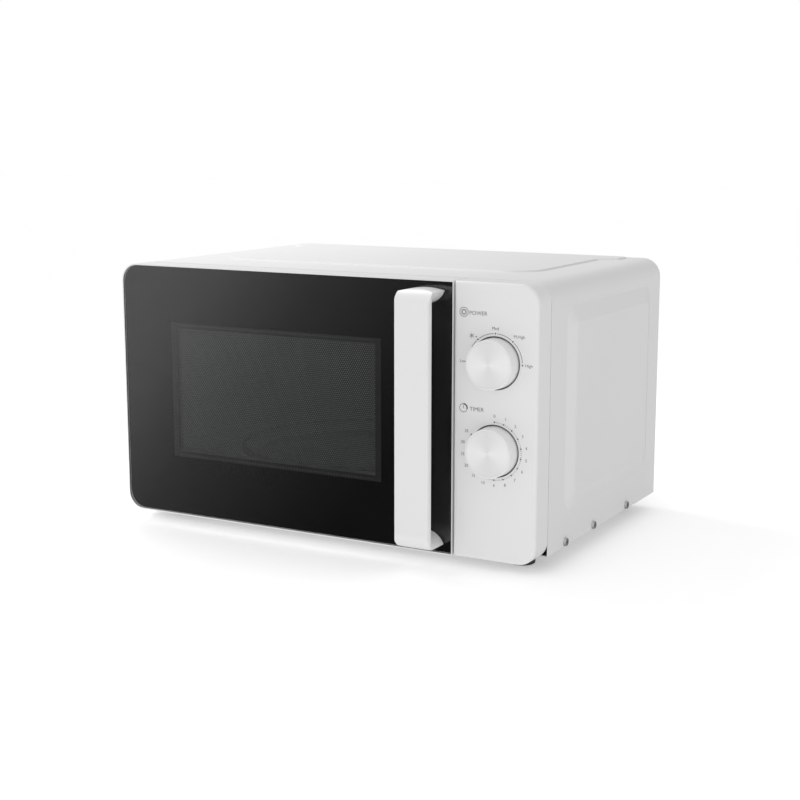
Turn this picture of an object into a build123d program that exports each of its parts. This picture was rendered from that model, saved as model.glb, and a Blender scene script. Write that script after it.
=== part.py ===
from build123d import *
import math
import os

# Compact countertop microwave oven with a side-hinged door, two rotary controls and a glass turntable.
# Millimetres. X runs left to right, Y from the door to the back, Z up. The origin is on the floor
# under the middle of the whole oven.

# ---------------------------------------------------------------- driving dimensions
WIDTH = 440.0                 # cabinet and front, side to side
FRONT_HEIGHT = 243.0          # door and control panel
BODY_DEPTH = 300.0            # front face of the door to the back edge of the cabinet
FRONT_DEPTH = 26.0            # thickness of the door and the control panel
FOOT_HEIGHT = 13.0
HANDLE_REACH = 30.0           # handle's front face ahead of the door glass
SPACER_REACH = 10.0           # wall spacer behind the cabinet
DOOR_WIDTH = 360.0
DOOR_GAP = 1.0                # between the door and the control panel
SHEET = 0.8                   # cavity steel
WRAPPER_SHEET = 0.6           # cabinet steel
CORNER_R = 17.0               # outer corners of the front
CABINET_R = 18.0              # bend along the cabinet's top edges
CAVITY_WIDTH = 290.0
CAVITY_HEIGHT = 198.0
TRAY_R = 122.5
KNOB_R = 22.0
FIT = 0.05                    # radial clearance of a shaft in its bore

# ---------------------------------------------------------------- places worked out from them
X_LEFT = -WIDTH / 2
X_RIGHT = WIDTH / 2
Y_FACE = HANDLE_REACH - (HANDLE_REACH + BODY_DEPTH + SPACER_REACH) / 2
Y_BACK = Y_FACE + BODY_DEPTH
Z_FRONT = FOOT_HEIGHT
Z_TOP = FOOT_HEIGHT + FRONT_HEIGHT
Z_BASE = Z_FRONT + 3.0                       # underside of the cabinet
Z_DECK = Z_BASE + 1.0                        # upper face of the base plate
Y_PLATE = Y_FACE + FRONT_DEPTH + 0.2         # front face of the cavity's front plate
Y_SHELL = Y_PLATE + SHEET                    # where the cabinet sheet starts
Y_REAR = Y_BACK - SHEET                      # back face of the rear panel
DOOR_RIGHT = X_LEFT + DOOR_WIDTH
PANEL_LEFT = DOOR_RIGHT + DOOR_GAP
Y_DOOR_BACK = Y_PLATE - 0.5
X_INNER = X_RIGHT - SHEET                    # inner face of the cabinet's sides

CAVITY_X = (-190.0, -190.0 + CAVITY_WIDTH)
CAVITY_Z = (40.0, 40.0 + CAVITY_HEIGHT)
CAVITY_Y = (Y_SHELL, 154.0)
TABLE_X = sum(CAVITY_X) / 2
TABLE_Y = sum(CAVITY_Y) / 2

WINDOW_X = (-163.5, 67.5)                    # clear window in the door
WINDOW_Z = (70.7, 201.1)
HINGE_X = X_LEFT + 12.0
HINGE_Y = Y_FACE + 12.0
PIN_R = 3.0
KNOB_X = 180.3
POWER_Z = 187.6
TIMER_Z = 111.3
SIDE_SCREW_Y = (-74.0, -7.0, 79.0)
SIDE_SCREW_Z = Z_BASE + 4.5
REAR_SCREW_Z = (40.0, 140.0, 235.0)
FOOT_PLACES = [(-185.0, -88.0), (185.0, -88.0), (-185.0, 128.0), (185.0, 128.0)]


def at_x(x):
    """A plane across the oven at x: its own axes are Y and Z, and it faces right."""
    return Plane.YZ.offset(x)


def at_y(y):
    """A plane parallel to the door at y: its own axes are X and Z, and it faces forwards."""
    return Plane.XZ.offset(-y)


def at_z(z):
    """A level plane at height z."""
    return Plane.XY.offset(z)


def span(low, high):
    """A rectangle in the current sketch from its low corner to its high corner."""
    with Locations(((low[0] + high[0]) / 2, (low[1] + high[1]) / 2)):
        Rectangle(high[0] - low[0], high[1] - low[1])


def block(x, y, z, mode=Mode.ADD):
    """A box in the current part, given by its reach along each axis."""
    with Locations(((x[0] + x[1]) / 2, (y[0] + y[1]) / 2, (z[0] + z[1]) / 2)):
        Box(x[1] - x[0], y[1] - y[0], z[1] - z[0], mode=mode)


def rod_x(y, z, radius, x, mode=Mode.ADD):
    """A round bar or hole along X."""
    with BuildSketch(at_x(x[0])) as end:
        with Locations((y, z)):
            Circle(radius)
    extrude(end.sketch, amount=x[1] - x[0], mode=mode)


def rod_y(x, z, radius, y, mode=Mode.ADD):
    """A round bar or hole along Y."""
    with BuildSketch(at_y(y[1])) as end:
        with Locations((x, z)):
            Circle(radius)
    extrude(end.sketch, amount=y[1] - y[0], mode=mode)


def rod_z(x, y, radius, z, mode=Mode.ADD):
    """An upright round bar or hole."""
    with BuildSketch(at_z(z[0])) as end:
        with Locations((x, y)):
            Circle(radius)
    extrude(end.sketch, amount=z[1] - z[0], mode=mode)


os.makedirs("parts", exist_ok=True)

# ================================================================ cabinet
# Wrapper: one folded sheet over both sides and the top, with a raised field pressed into each.
SIDE_FIELD_Y = (-78.0, 132.0)
SIDE_FIELD_Z = (48.6, 231.4)
SIDE_FIELD_RISE = 4.0
SIDE_FIELD_SLOPE = 14.5
TOP_FIELD_RISE = 1.6
REAR_LIP = 12.0


def hood(inset, y):
    """The cabinet's cross-section, drawn in by inset, between two places along Y."""
    with BuildSketch(at_y(y[1])) as section:
        span((X_LEFT + inset, Z_BASE - inset), (X_RIGHT - inset, Z_TOP - inset))
        fillet(section.vertices().group_by(Axis.Y)[-1], CABINET_R - inset)
    extrude(section.sketch, amount=y[1] - y[0], mode=Mode.ADD if inset == 0 else Mode.SUBTRACT)


def side_field(side, inset, mode):
    """The pressed field of one side, as a low truncated pyramid with rounded corners."""
    width = SIDE_FIELD_Y[1] - SIDE_FIELD_Y[0] - inset
    height = SIDE_FIELD_Z[1] - SIDE_FIELD_Z[0] - inset
    centre = (sum(SIDE_FIELD_Y) / 2, sum(SIDE_FIELD_Z) / 2)
    with BuildSketch(at_x(side * (X_RIGHT - inset))) as foot:
        with Locations(centre):
            RectangleRounded(width, height, 14)
    with BuildSketch(at_x(side * (X_RIGHT - inset + SIDE_FIELD_RISE))) as crest:
        with Locations(centre):
            RectangleRounded(width - 2 * SIDE_FIELD_SLOPE, height - 2 * SIDE_FIELD_SLOPE, 6)
    loft([foot.sketch.face(), crest.sketch.face()], mode=mode)


def top_field(inset, mode):
    """The shallow raised field of the top, wider at the back."""
    edge = 173.0 - inset
    wide = 190.0 - inset
    with BuildSketch(at_z(Z_TOP - inset)) as field:
        with BuildLine():
            Polyline((-edge, -49 + inset), (edge, -49 + inset), (edge, 109), (wide, 122), (wide, 150 - inset),
                     (-wide, 150 - inset), (-wide, 122), (-edge, 109), close=True)
        make_face()
        fillet(field.vertices().group_by(Axis.Y)[0], 30)
        fillet(field.vertices().group_by(Axis.Y)[-1], 8)
    extrude(field.sketch, amount=TOP_FIELD_RISE, taper=40, mode=mode)


with BuildPart() as cabinet_wrapper:
    hood(0, (Y_SHELL, Y_BACK))
    for side in (-1, 1):
        side_field(side, 0, Mode.ADD)
    top_field(0, Mode.ADD)
    hood(WRAPPER_SHEET, (Y_SHELL, Y_REAR))
    for side in (-1, 1):
        side_field(side, WRAPPER_SHEET, Mode.SUBTRACT)
    top_field(WRAPPER_SHEET, Mode.SUBTRACT)
    block((X_LEFT + REAR_LIP, X_RIGHT - REAR_LIP), (Y_REAR - 1, Y_BACK + 1),
          (Z_BASE - 1, Z_TOP - REAR_LIP), Mode.SUBTRACT)
    for y in SIDE_SCREW_Y:
        rod_x(y, SIDE_SCREW_Z, 2.2, (X_LEFT - 1, X_RIGHT + 1), Mode.SUBTRACT)
    for x in (X_LEFT + 6, X_RIGHT - 6):
        for z in REAR_SCREW_Z:
            rod_y(x, z, 2.2, (Y_REAR - 1, Y_BACK + 1), Mode.SUBTRACT)
cabinet_wrapper.part.label = "cabinet_wrapper"
export_step(cabinet_wrapper.part, "parts/cabinet_wrapper.step")

# Base plate: the deck that carries the feet, the transformer and the cavity.
with BuildPart() as base_plate:
    block((-X_INNER + 0.2, X_INNER - 0.2), (Y_SHELL, Y_REAR - 1.2), (Z_BASE, Z_DECK))
    for side in (-1, 1):
        edge = side * (X_INNER - 0.2)
        block(sorted((edge, edge - side)), (Y_SHELL + 6, Y_REAR - 1.2), (Z_DECK, Z_DECK + 14))
    block((-X_INNER + 1.2, X_INNER - 1.2), (Y_REAR - 2.2, Y_REAR - 1.2), (Z_DECK, Z_DECK + 12))
    for y in SIDE_SCREW_Y:
        rod_x(y, SIDE_SCREW_Z, 1.8, (X_LEFT, X_RIGHT), Mode.SUBTRACT)
    for place in FOOT_PLACES:
        rod_z(place[0], place[1], 4.2, (Z_BASE - 1, Z_DECK + 1), Mode.SUBTRACT)
    with BuildSketch(at_z(Z_BASE - 1)):
        with Locations((160, 80)):
            with GridLocations(1, 9, 1, 5):
                SlotOverall(56, 4)
        with Locations((TABLE_X, TABLE_Y + 60)):
            with GridLocations(1, 9, 1, 4):
                SlotOverall(70, 4)
    extrude(amount=3, mode=Mode.SUBTRACT)
base_plate.part.label = "base_plate"
export_step(base_plate.part, "parts/base_plate.step")

# Rear panel: closes the back inside the wrapper's lip, with the fan's intake and the outlet slots.
FAN_X = 158.0
FAN_Z = 182.0
GLAND_X = 196.0
GLAND_Z = 44.0
with BuildPart() as rear_panel:
    with BuildSketch(at_y(Y_REAR)) as outline:
        span((-X_INNER + 0.3, Z_DECK + 0.1), (X_INNER - 0.3, Z_TOP - SHEET - 0.3))
        fillet(outline.vertices().group_by(Axis.Y)[-1], CABINET_R - SHEET)
        for ring in range(1, 5):
            with Locations((FAN_X, FAN_Z)):
                with PolarLocations(10.0 * ring, 6 * ring):
                    Circle(2.6, mode=Mode.SUBTRACT)
        with Locations((-110, 196)):
            with GridLocations(52, 8, 2, 7):
                SlotOverall(44, 3.2, mode=Mode.SUBTRACT)
        with Locations((GLAND_X, GLAND_Z)):
            Circle(7.0, mode=Mode.SUBTRACT)
        for x in (X_LEFT + 6, X_RIGHT - 6):
            for z in REAR_SCREW_Z:
                with Locations((x, z)):
                    Circle(1.8, mode=Mode.SUBTRACT)
    extrude(amount=1.0)
rear_panel.part.label = "rear_panel"
export_step(rear_panel.part, "parts/rear_panel.step")

# Wall spacer: a moulded bracket that keeps the oven's back off the wall.
with BuildPart() as rear_spacer:
    block((-45, 45), (Y_REAR, Y_BACK + SPACER_REACH), (206, 218))
    block((-37, 37), (Y_REAR - 1, Y_BACK + SPACER_REACH - 2.5), (203, 215.5), Mode.SUBTRACT)
    fillet(rear_spacer.edges().filter_by(Axis.Z).group_by(Axis.Y)[-1], 4)
rear_spacer.part.label = "rear_spacer"
export_step(rear_spacer.part, "parts/rear_spacer.step")

# Feet: moulded cups with a snap stem through the base plate.
with BuildPart() as feet:
    with BuildSketch(at_z(Z_BASE)):
        with Locations(*FOOT_PLACES):
            Circle(13)
    extrude(amount=-Z_BASE, taper=5)
    fillet(feet.edges().filter_by(GeomType.CIRCLE).group_by(Axis.Z)[0], 1.5)
    with BuildSketch(at_z(Z_BASE)):
        with Locations(*FOOT_PLACES):
            Circle(4.0)
    extrude(amount=4)
feet.part.label = "feet"
export_step(feet.part, "parts/feet.step")

# Cabinet screws: pan heads with a cross recess, three low on each side and three up each back edge.
HEAD_R = 4.0
HEAD_HEIGHT = 2.2


def pan_screw(plane, length):
    """A cross-recessed pan-head screw whose head stands out of the plane."""
    with BuildSketch(plane) as head:
        Circle(HEAD_R)
    extrude(head.sketch, amount=HEAD_HEIGHT, taper=12)
    with BuildSketch(plane.offset(HEAD_HEIGHT)) as cross:
        Rectangle(4.2, 0.9)
        Rectangle(0.9, 4.2)
    extrude(cross.sketch, amount=-1.2, mode=Mode.SUBTRACT)
    with BuildSketch(plane) as shank:
        Circle(1.75)
    extrude(shank.sketch, amount=-length)


with BuildPart() as cabinet_screws:
    for side in (-1, 1):
        for y in SIDE_SCREW_Y:
            pan_screw(Plane(origin=(side * X_RIGHT, y, SIDE_SCREW_Z), z_dir=(side, 0, 0)), 8)
        for z in REAR_SCREW_Z:
            pan_screw(Plane(origin=(side * (X_RIGHT - 6), Y_BACK, z), z_dir=(0, 1, 0)), 8)
cabinet_screws.part.label = "cabinet_screws"
export_step(cabinet_screws.part, "parts/cabinet_screws.step")

# Cord gland: the rubber bush in the rear panel that the supply lead passes through.
with BuildPart() as cord_gland:
    rod_y(GLAND_X, GLAND_Z, 10.0, (Y_REAR, Y_REAR + 5))
    rod_y(GLAND_X, GLAND_Z, 6.8, (Y_REAR - 1.2, Y_REAR))
    rod_y(GLAND_X, GLAND_Z, 9.0, (Y_REAR - 5, Y_REAR - 1.2))
    rod_y(GLAND_X, GLAND_Z, 3.6, (Y_REAR - 6, Y_REAR + 6), Mode.SUBTRACT)
cord_gland.part.label = "cord_gland"
export_step(cord_gland.part, "parts/cord_gland.step")

# ================================================================ cooking cavity
# Front plate: the flat flange that the door's seal meets, with slots for the two latch hooks.
HOOK_X = (122.0, 126.0)
UPPER_HOOK_Z = (188.0, 198.0)
LOWER_HOOK_Z = (64.0, 90.0)
HINGE_ARM_Z = ((20.0, 22.5), (246.5, 249.0))
with BuildPart() as front_plate:
    with BuildSketch(at_y(Y_SHELL)) as outline:
        span((-218, 15), (PANEL_LEFT + 5, 254.5))
        fillet(outline.vertices().group_by(Axis.X)[0], 16)
        with Locations((TABLE_X, sum(CAVITY_Z) / 2)):
            RectangleRounded(CAVITY_WIDTH, CAVITY_HEIGHT, 6, mode=Mode.SUBTRACT)
        for low, high in (UPPER_HOOK_Z, LOWER_HOOK_Z):
            with Locations((124.5, (low + high) / 2)):
                RectangleRounded(13, high - low + 14, 1.5, mode=Mode.SUBTRACT)
        for low, high in HINGE_ARM_Z:
            with Locations((HINGE_X, (low + high) / 2)):
                Rectangle(10.6, high - low + 0.6, mode=Mode.SUBTRACT)
    extrude(amount=SHEET)
front_plate.part.label = "front_plate"
export_step(front_plate.part, "parts/front_plate.step")

# Cavity wrap: one sheet folded over the sides and the roof of the cavity.
FEED_Y = (0.0, 50.0)
FEED_Z = (120.0, 150.0)
LAMP_Y = -48.0
LAMP_Z = 205.0
with BuildPart() as cavity_wrap:
    with BuildSketch(at_y(CAVITY_Y[1])) as outer:
        span((CAVITY_X[0] - SHEET, CAVITY_Z[0] - SHEET), (CAVITY_X[1] + SHEET, CAVITY_Z[1] + SHEET))
        fillet(outer.vertices().group_by(Axis.Y)[-1], 6)
    extrude(amount=CAVITY_Y[1] - CAVITY_Y[0])
    with BuildSketch(at_y(CAVITY_Y[1])) as inner:
        span((CAVITY_X[0], CAVITY_Z[0] - SHEET), (CAVITY_X[1], CAVITY_Z[1]))
        fillet(inner.vertices().group_by(Axis.Y)[-1], 6 - SHEET)
    extrude(amount=CAVITY_Y[1] - CAVITY_Y[0], mode=Mode.SUBTRACT)
    with BuildSketch(at_x(CAVITY_X[1] - 1)):
        span((FEED_Y[0], FEED_Z[0]), (FEED_Y[1], FEED_Z[1]))
        with Locations((LAMP_Y, LAMP_Z)):
            with GridLocations(6, 6, 5, 5):
                Circle(1.6)
        with Locations((112, 190)):
            with GridLocations(6, 6, 6, 6):
                Circle(1.6)
    extrude(amount=3, mode=Mode.SUBTRACT)
cavity_wrap.part.label = "cavity_wrap"
export_step(cavity_wrap.part, "parts/cavity_wrap.step")

# Cavity floor: flat, with the hole for the turntable drive.
with BuildPart() as cavity_floor:
    block((CAVITY_X[0] + 0.05, CAVITY_X[1] - 0.05), CAVITY_Y, (CAVITY_Z[0] - SHEET, CAVITY_Z[0]))
    rod_z(TABLE_X, TABLE_Y, 9.0, (CAVITY_Z[0] - 2, CAVITY_Z[0] + 1), Mode.SUBTRACT)
cavity_floor.part.label = "cavity_floor"
export_step(cavity_floor.part, "parts/cavity_floor.step")

# Cavity back: closes the cavity, with the air outlet holes high on the left.
with BuildPart() as cavity_back:
    block((CAVITY_X[0] - SHEET, CAVITY_X[1] + SHEET), (CAVITY_Y[1], CAVITY_Y[1] + SHEET),
          (CAVITY_Z[0] - SHEET, CAVITY_Z[1] + SHEET))
    with BuildSketch(at_y(CAVITY_Y[1] + 2)):
        with Locations((-130, 205)):
            with GridLocations(6, 6, 9, 5):
                Circle(1.6)
    extrude(amount=3, mode=Mode.SUBTRACT)
cavity_back.part.label = "cavity_back"
export_step(cavity_back.part, "parts/cavity_back.step")

# Waveguide: a steel duct from the magnetron's antenna to the feed opening in the cavity wall.
GUIDE_X = (CAVITY_X[1] + SHEET, 137.0)
GUIDE_Y = (-20.0, 70.0)
GUIDE_Z = (110.0, 226.0)
ANTENNA_Y = 25.0
ANTENNA_Z = 184.0
with BuildPart() as waveguide:
    block(GUIDE_X, GUIDE_Y, GUIDE_Z)
    block((GUIDE_X[0] - 1, GUIDE_X[1] - 1), (GUIDE_Y[0] + 1, GUIDE_Y[1] - 1),
          (GUIDE_Z[0] + 1, GUIDE_Z[1] - 1), Mode.SUBTRACT)
    rod_x(ANTENNA_Y, ANTENNA_Z, 16.0, (GUIDE_X[1] - 3, GUIDE_X[1] + 1), Mode.SUBTRACT)
waveguide.part.label = "waveguide"
export_step(waveguide.part, "parts/waveguide.step")

# Waveguide cover: the mica sheet clipped over the feed opening, inside the cavity.
with BuildPart() as waveguide_cover:
    with BuildSketch(at_x(CAVITY_X[1] - 0.6)):
        with Locations((sum(FEED_Y) / 2, sum(FEED_Z) / 2)):
            RectangleRounded(74, 54, 5)
    extrude(amount=0.6)
waveguide_cover.part.label = "waveguide_cover"
export_step(waveguide_cover.part, "parts/waveguide_cover.step")

# ================================================================ power parts in the right-hand bay
# Magnetron: the tube with its ring magnets and antenna, the fins pressed on it and the yoke round it.
YOKE_X = (GUIDE_X[1], 180.0)
YOKE_Y = (-20.0, 70.0)
YOKE_Z = (144.0, 226.0)
TUBE_R = 19.0
with BuildPart() as magnetron_tube:
    rod_x(ANTENNA_Y, ANTENNA_Z, 8.0, (112, YOKE_X[0] + 2))
    rod_x(ANTENNA_Y, ANTENNA_Z, TUBE_R, (YOKE_X[0] + 1.5, YOKE_X[1] - 1.5))
    for x in (YOKE_X[0] + 1.5, YOKE_X[1] - 9.5):
        rod_x(ANTENNA_Y, ANTENNA_Z, 27.0, (x, x + 8))
    fillet(magnetron_tube.edges().group_by(Axis.X)[0], 3)
magnetron_tube.part.label = "magnetron_tube"
export_step(magnetron_tube.part, "parts/magnetron_tube.step")

FIN_COUNT = 6
with BuildPart() as magnetron_fins:
    for index in range(FIN_COUNT):
        x = YOKE_X[0] + 11.5 + 3.6 * index
        with BuildSketch(at_x(x)):
            span((YOKE_Y[0] + 4, YOKE_Z[0] + 2), (YOKE_Y[1] - 4, YOKE_Z[1] - 2))
            with Locations((ANTENNA_Y, ANTENNA_Z)):
                Circle(TUBE_R, mode=Mode.SUBTRACT)
        extrude(amount=0.8)
magnetron_fins.part.label = "magnetron_fins"
export_step(magnetron_fins.part, "parts/magnetron_fins.step")

with BuildPart() as magnetron_yoke:
    block(YOKE_X, YOKE_Y, YOKE_Z)
    block((YOKE_X[0] + 1.5, YOKE_X[1] - 1.5), (YOKE_Y[0] - 1, YOKE_Y[1] + 1),
          (YOKE_Z[0] + 1.5, YOKE_Z[1] - 1.5), Mode.SUBTRACT)
    rod_x(ANTENNA_Y, ANTENNA_Z, 12.0, (YOKE_X[0] - 1, YOKE_X[0] + 3), Mode.SUBTRACT)
    block((YOKE_X[1], YOKE_X[1] + 30), (-8, 58), (154, 214))
    block((YOKE_X[1] + 1, YOKE_X[1] + 31), (-7, 57), (155, 213), Mode.SUBTRACT)
    block((YOKE_X[1] + 8, YOKE_X[1] + 22), (57.5, 68), (176, 192))
magnetron_yoke.part.label = "magnetron_yoke"
export_step(magnetron_yoke.part, "parts/magnetron_yoke.step")

# High-voltage transformer: a welded lamination stack with a primary and a secondary winding.
CORE_X = (118.0, 206.0)
CORE_Y = (-54.0, 4.0)
CORE_Z = (Z_DECK, Z_DECK + 70.0)
CORE_MID_Z = sum(CORE_Z) / 2
with BuildPart() as transformer_core:
    block(CORE_X, CORE_Y, CORE_Z)
    for z in ((CORE_Z[0] + 14, CORE_MID_Z - 12), (CORE_MID_Z + 12, CORE_Z[1] - 14)):
        block((CORE_X[0] + 14, CORE_X[1] - 14), (CORE_Y[0] - 1, CORE_Y[1] + 1), z, Mode.SUBTRACT)
    for y in ((CORE_Y[0] - 7, CORE_Y[0]), (CORE_Y[1], CORE_Y[1] + 7)):
        block(CORE_X, y, (CORE_Z[0], CORE_Z[0] + 1.5))
transformer_core.part.label = "transformer_core"
export_step(transformer_core.part, "parts/transformer_core.step")

with BuildPart() as transformer_windings:
    middle = sum(CORE_X) / 2
    for x in ((CORE_X[0] + 16, middle - 1), (middle + 1, CORE_X[1] - 16)):
        block(x, (CORE_Y[0] - 10, CORE_Y[1] + 10), (CORE_MID_Z - 20.5, CORE_MID_Z + 20.5))
    block((CORE_X[0] + 15, CORE_X[1] - 15), (CORE_Y[0] - 0.2, CORE_Y[1] + 0.2),
          (CORE_MID_Z - 12.2, CORE_MID_Z + 12.2), Mode.SUBTRACT)
transformer_windings.part.label = "transformer_windings"
export_step(transformer_windings.part, "parts/transformer_windings.step")

# High-voltage capacitor: an oval can lying on its side in a strap.
CAN_Y = 47.0
CAN_Z = Z_DECK + 18.0
with BuildPart() as capacitor:
    with BuildSketch(at_x(112)):
        with Locations((CAN_Y, CAN_Z)):
            SlotOverall(52, 33)
    extrude(amount=88)
    for y in (CAN_Y - 10, CAN_Y + 10):
        rod_x(y, CAN_Z, 4.0, (200, 206))
        block((206, 213), (y - 3, y + 3), (CAN_Z - 0.4, CAN_Z + 0.4))
capacitor.part.label = "capacitor"
export_step(capacitor.part, "parts/capacitor.step")

with BuildPart() as capacitor_clamp:
    with BuildSketch(at_x(148)):
        with Locations((CAN_Y, CAN_Z)):
            SlotOverall(54.4, 35.4)
        with Locations((CAN_Y, Z_DECK + 0.6)):
            Rectangle(68, 1.2)
        with Locations((CAN_Y, CAN_Z)):
            SlotOverall(52, 33, mode=Mode.SUBTRACT)
    extrude(amount=14)
capacitor_clamp.part.label = "capacitor_clamp"
export_step(capacitor_clamp.part, "parts/capacitor_clamp.step")

# High-voltage diode: a moulded rod with a ring tag on the deck.
with BuildPart() as hv_diode:
    rod_x(96, Z_DECK + 5, 3.6, (132, 154))
    block((118, 132), (95.4, 96.6), (Z_DECK + 4.4, Z_DECK + 5.6))
    block((154, 166), (95.4, 96.6), (Z_DECK, Z_DECK + 5.6))
    block((162, 174), (91, 101), (Z_DECK, Z_DECK + 0.8))
hv_diode.part.label = "hv_diode"
export_step(hv_diode.part, "parts/hv_diode.step")

# Thermal cut-outs: a snap disc on the cavity roof and one on the magnetron's yoke.
with BuildPart() as thermal_cutouts:
    for x, y, z in ((40, 20, CAVITY_Z[1] + SHEET), (158, 24, YOKE_Z[1])):
        rod_z(x, y, 7.5, (z, z + 7))
        block((x - 14, x + 14), (y - 4, y + 4), (z, z + 1))
        for dx in (-4, 4):
            block((x + dx - 0.4, x + dx + 0.4), (y - 3, y + 3), (z + 7, z + 13))
thermal_cutouts.part.label = "thermal_cutouts"
export_step(thermal_cutouts.part, "parts/thermal_cutouts.step")

# Filter board: mains choke, capacitor, discharge resistor and fuse on a small circuit board.
BOARD_Y = 146.0
with BuildPart() as filter_board:
    block((112, 178), (BOARD_Y, BOARD_Y + 1.6), (30, 104))
    rod_y(134, 66, 14, (BOARD_Y - 12, BOARD_Y))
    rod_y(134, 66, 6, (BOARD_Y - 13, BOARD_Y - 2), Mode.SUBTRACT)
    block((152, 172), (BOARD_Y - 14, BOARD_Y), (52, 78))
    block((118, 150), (BOARD_Y - 7, BOARD_Y), (88, 95))
    for x in (116, 174):
        for z in (34, 100):
            rod_y(x, z, 3, (BOARD_Y + 1.6, Y_REAR - 1.0))
filter_board.part.label = "filter_board"
export_step(filter_board.part, "parts/filter_board.step")

# Oven lamp: bulb and socket in one unit, beside the perforated patch of the cavity wall.
BULB_X = 122.0
BULB_R = 11.0
NECK_R = 8.0
SOCKET_X = 140.0
with BuildPart() as oven_lamp:
    with BuildSketch(at_y(LAMP_Y)):
        with BuildLine():
            shoulder = (BULB_X + math.sqrt(BULB_R ** 2 - NECK_R ** 2), LAMP_Z + NECK_R)
            ThreePointArc((BULB_X - BULB_R, LAMP_Z), (BULB_X, LAMP_Z + BULB_R), shoulder)
            Polyline(shoulder, (SOCKET_X, LAMP_Z + NECK_R), (SOCKET_X, LAMP_Z), (BULB_X - BULB_R, LAMP_Z))
        make_face()
    revolve(axis=Axis((0, LAMP_Y, LAMP_Z), (1, 0, 0)))
    block((SOCKET_X, 152), (LAMP_Y - 14, LAMP_Y + 14), (LAMP_Z - 12, LAMP_Z + 12))
    block((CAVITY_X[1] + SHEET, 152), (LAMP_Y + 14, LAMP_Y + 16), (LAMP_Z - 12, LAMP_Z + 12))
oven_lamp.part.label = "oven_lamp"
export_step(oven_lamp.part, "parts/oven_lamp.step")

# ================================================================ cooling fan
SHROUD_Y = (130.0, Y_REAR - 1.2)
FAN_R = 46.0
SHAFT_R = 2.5
with BuildPart() as fan_shroud:
    block((106, 210.5), SHROUD_Y, (128, 236))
    rod_y(FAN_X, FAN_Z, FAN_R + 4, (SHROUD_Y[0] - 1, SHROUD_Y[1] + 1), Mode.SUBTRACT)
    for sign in (-1, 1):
        stay_z = FAN_Z - sign * 50
        inner_x = FAN_X + sign * 24
        rod_y(FAN_X + sign * 50, stay_z, 2.5, (120, SHROUD_Y[0]))
        block(sorted((FAN_X + sign * 52, inner_x)), (117, 120), (stay_z - 4, stay_z + 4))
        drop = sorted((stay_z - sign * 4, FAN_Z - sign * 20))
        block(sorted((FAN_X + sign * 32, inner_x)), (117, 120), drop)
fan_shroud.part.label = "fan_shroud"
export_step(fan_shroud.part, "parts/fan_shroud.step")

# Fan motor: a shaded-pole motor with a laminated frame, one coil and two bearing straps.
MOTOR_Y = (95.0, 117.0)
with BuildPart() as fan_motor:
    block((FAN_X - 32, FAN_X + 32), MOTOR_Y, (FAN_Z - 28, FAN_Z + 24))
    block((FAN_X - 20, FAN_X + 20), (MOTOR_Y[0] - 8, MOTOR_Y[1] + 8), (FAN_Z - 26, FAN_Z - 13))
    for y in ((MOTOR_Y[0] - 9, MOTOR_Y[0]), (MOTOR_Y[1], MOTOR_Y[1] + 9)):
        rod_y(FAN_X, FAN_Z, 9, y)
    rod_y(FAN_X, FAN_Z, SHAFT_R + FIT, (MOTOR_Y[0] - 6, MOTOR_Y[1] + 10), Mode.SUBTRACT)
fan_motor.part.label = "fan_motor"
export_step(fan_motor.part, "parts/fan_motor.step")

BLADE_COUNT = 5
BLADE_Y = 140.0
with BuildPart(Plane(origin=(FAN_X, BLADE_Y, FAN_Z), x_dir=(1, 0, 0), z_dir=(0, -1, 0))) as fan_blade:
    Cylinder(12, 14)
    with PolarLocations(27, BLADE_COUNT):
        Box(34, 26, 1.6, rotation=(28, 0, 0))
    Cylinder(SHAFT_R, BLADE_Y - MOTOR_Y[0] + 4, align=(Align.CENTER, Align.CENTER, Align.MIN))
fan_blade.part.label = "fan_blade"
export_step(fan_blade.part, "parts/fan_blade.step")

# ================================================================ turntable
FLOOR = CAVITY_Z[0]
WHEEL_R = 7.0
WHEEL_Z = FLOOR + 0.3 + WHEEL_R
RING_R = 88.0
TRACK_R = 98.0
TRAY_Z = FLOOR + 0.6 + 2 * WHEEL_R

with BuildPart() as turntable_motor:
    rod_z(TABLE_X, TABLE_Y, 24.5, (20, 34))
    for sign in (-1, 1):
        ear_x = TABLE_X + sign * 29
        tab_x = TABLE_X + sign * 32
        block((ear_x - 5, ear_x + 5), (TABLE_Y - 4, TABLE_Y + 4), (32, 34))
        block((tab_x - 2, tab_x + 2), (TABLE_Y - 4, TABLE_Y + 4), (34, FLOOR - SHEET))
    block((TABLE_X - 8, TABLE_X + 8), (TABLE_Y + 22, TABLE_Y + 34), (22, 30))
    rod_z(TABLE_X, TABLE_Y, 3.5 + FIT, (24, 40), Mode.SUBTRACT)
turntable_motor.part.label = "turntable_motor"
export_step(turntable_motor.part, "parts/turntable_motor.step")

# Drive coupler: the three-lobed hub on the motor's shaft, which turns the tray.
with BuildPart() as drive_coupler:
    rod_z(TABLE_X, TABLE_Y, 3.5, (26, FLOOR + 4))
    rod_z(TABLE_X, TABLE_Y, 9.5, (FLOOR + 3, FLOOR + 10))
    with BuildSketch(at_z(FLOOR + 10)):
        with Locations((TABLE_X, TABLE_Y)):
            Circle(9.5)
            with PolarLocations(11, 3):
                SlotOverall(18, 9)
    extrude(amount=4)
drive_coupler.part.label = "drive_coupler"
export_step(drive_coupler.part, "parts/drive_coupler.step")

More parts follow.
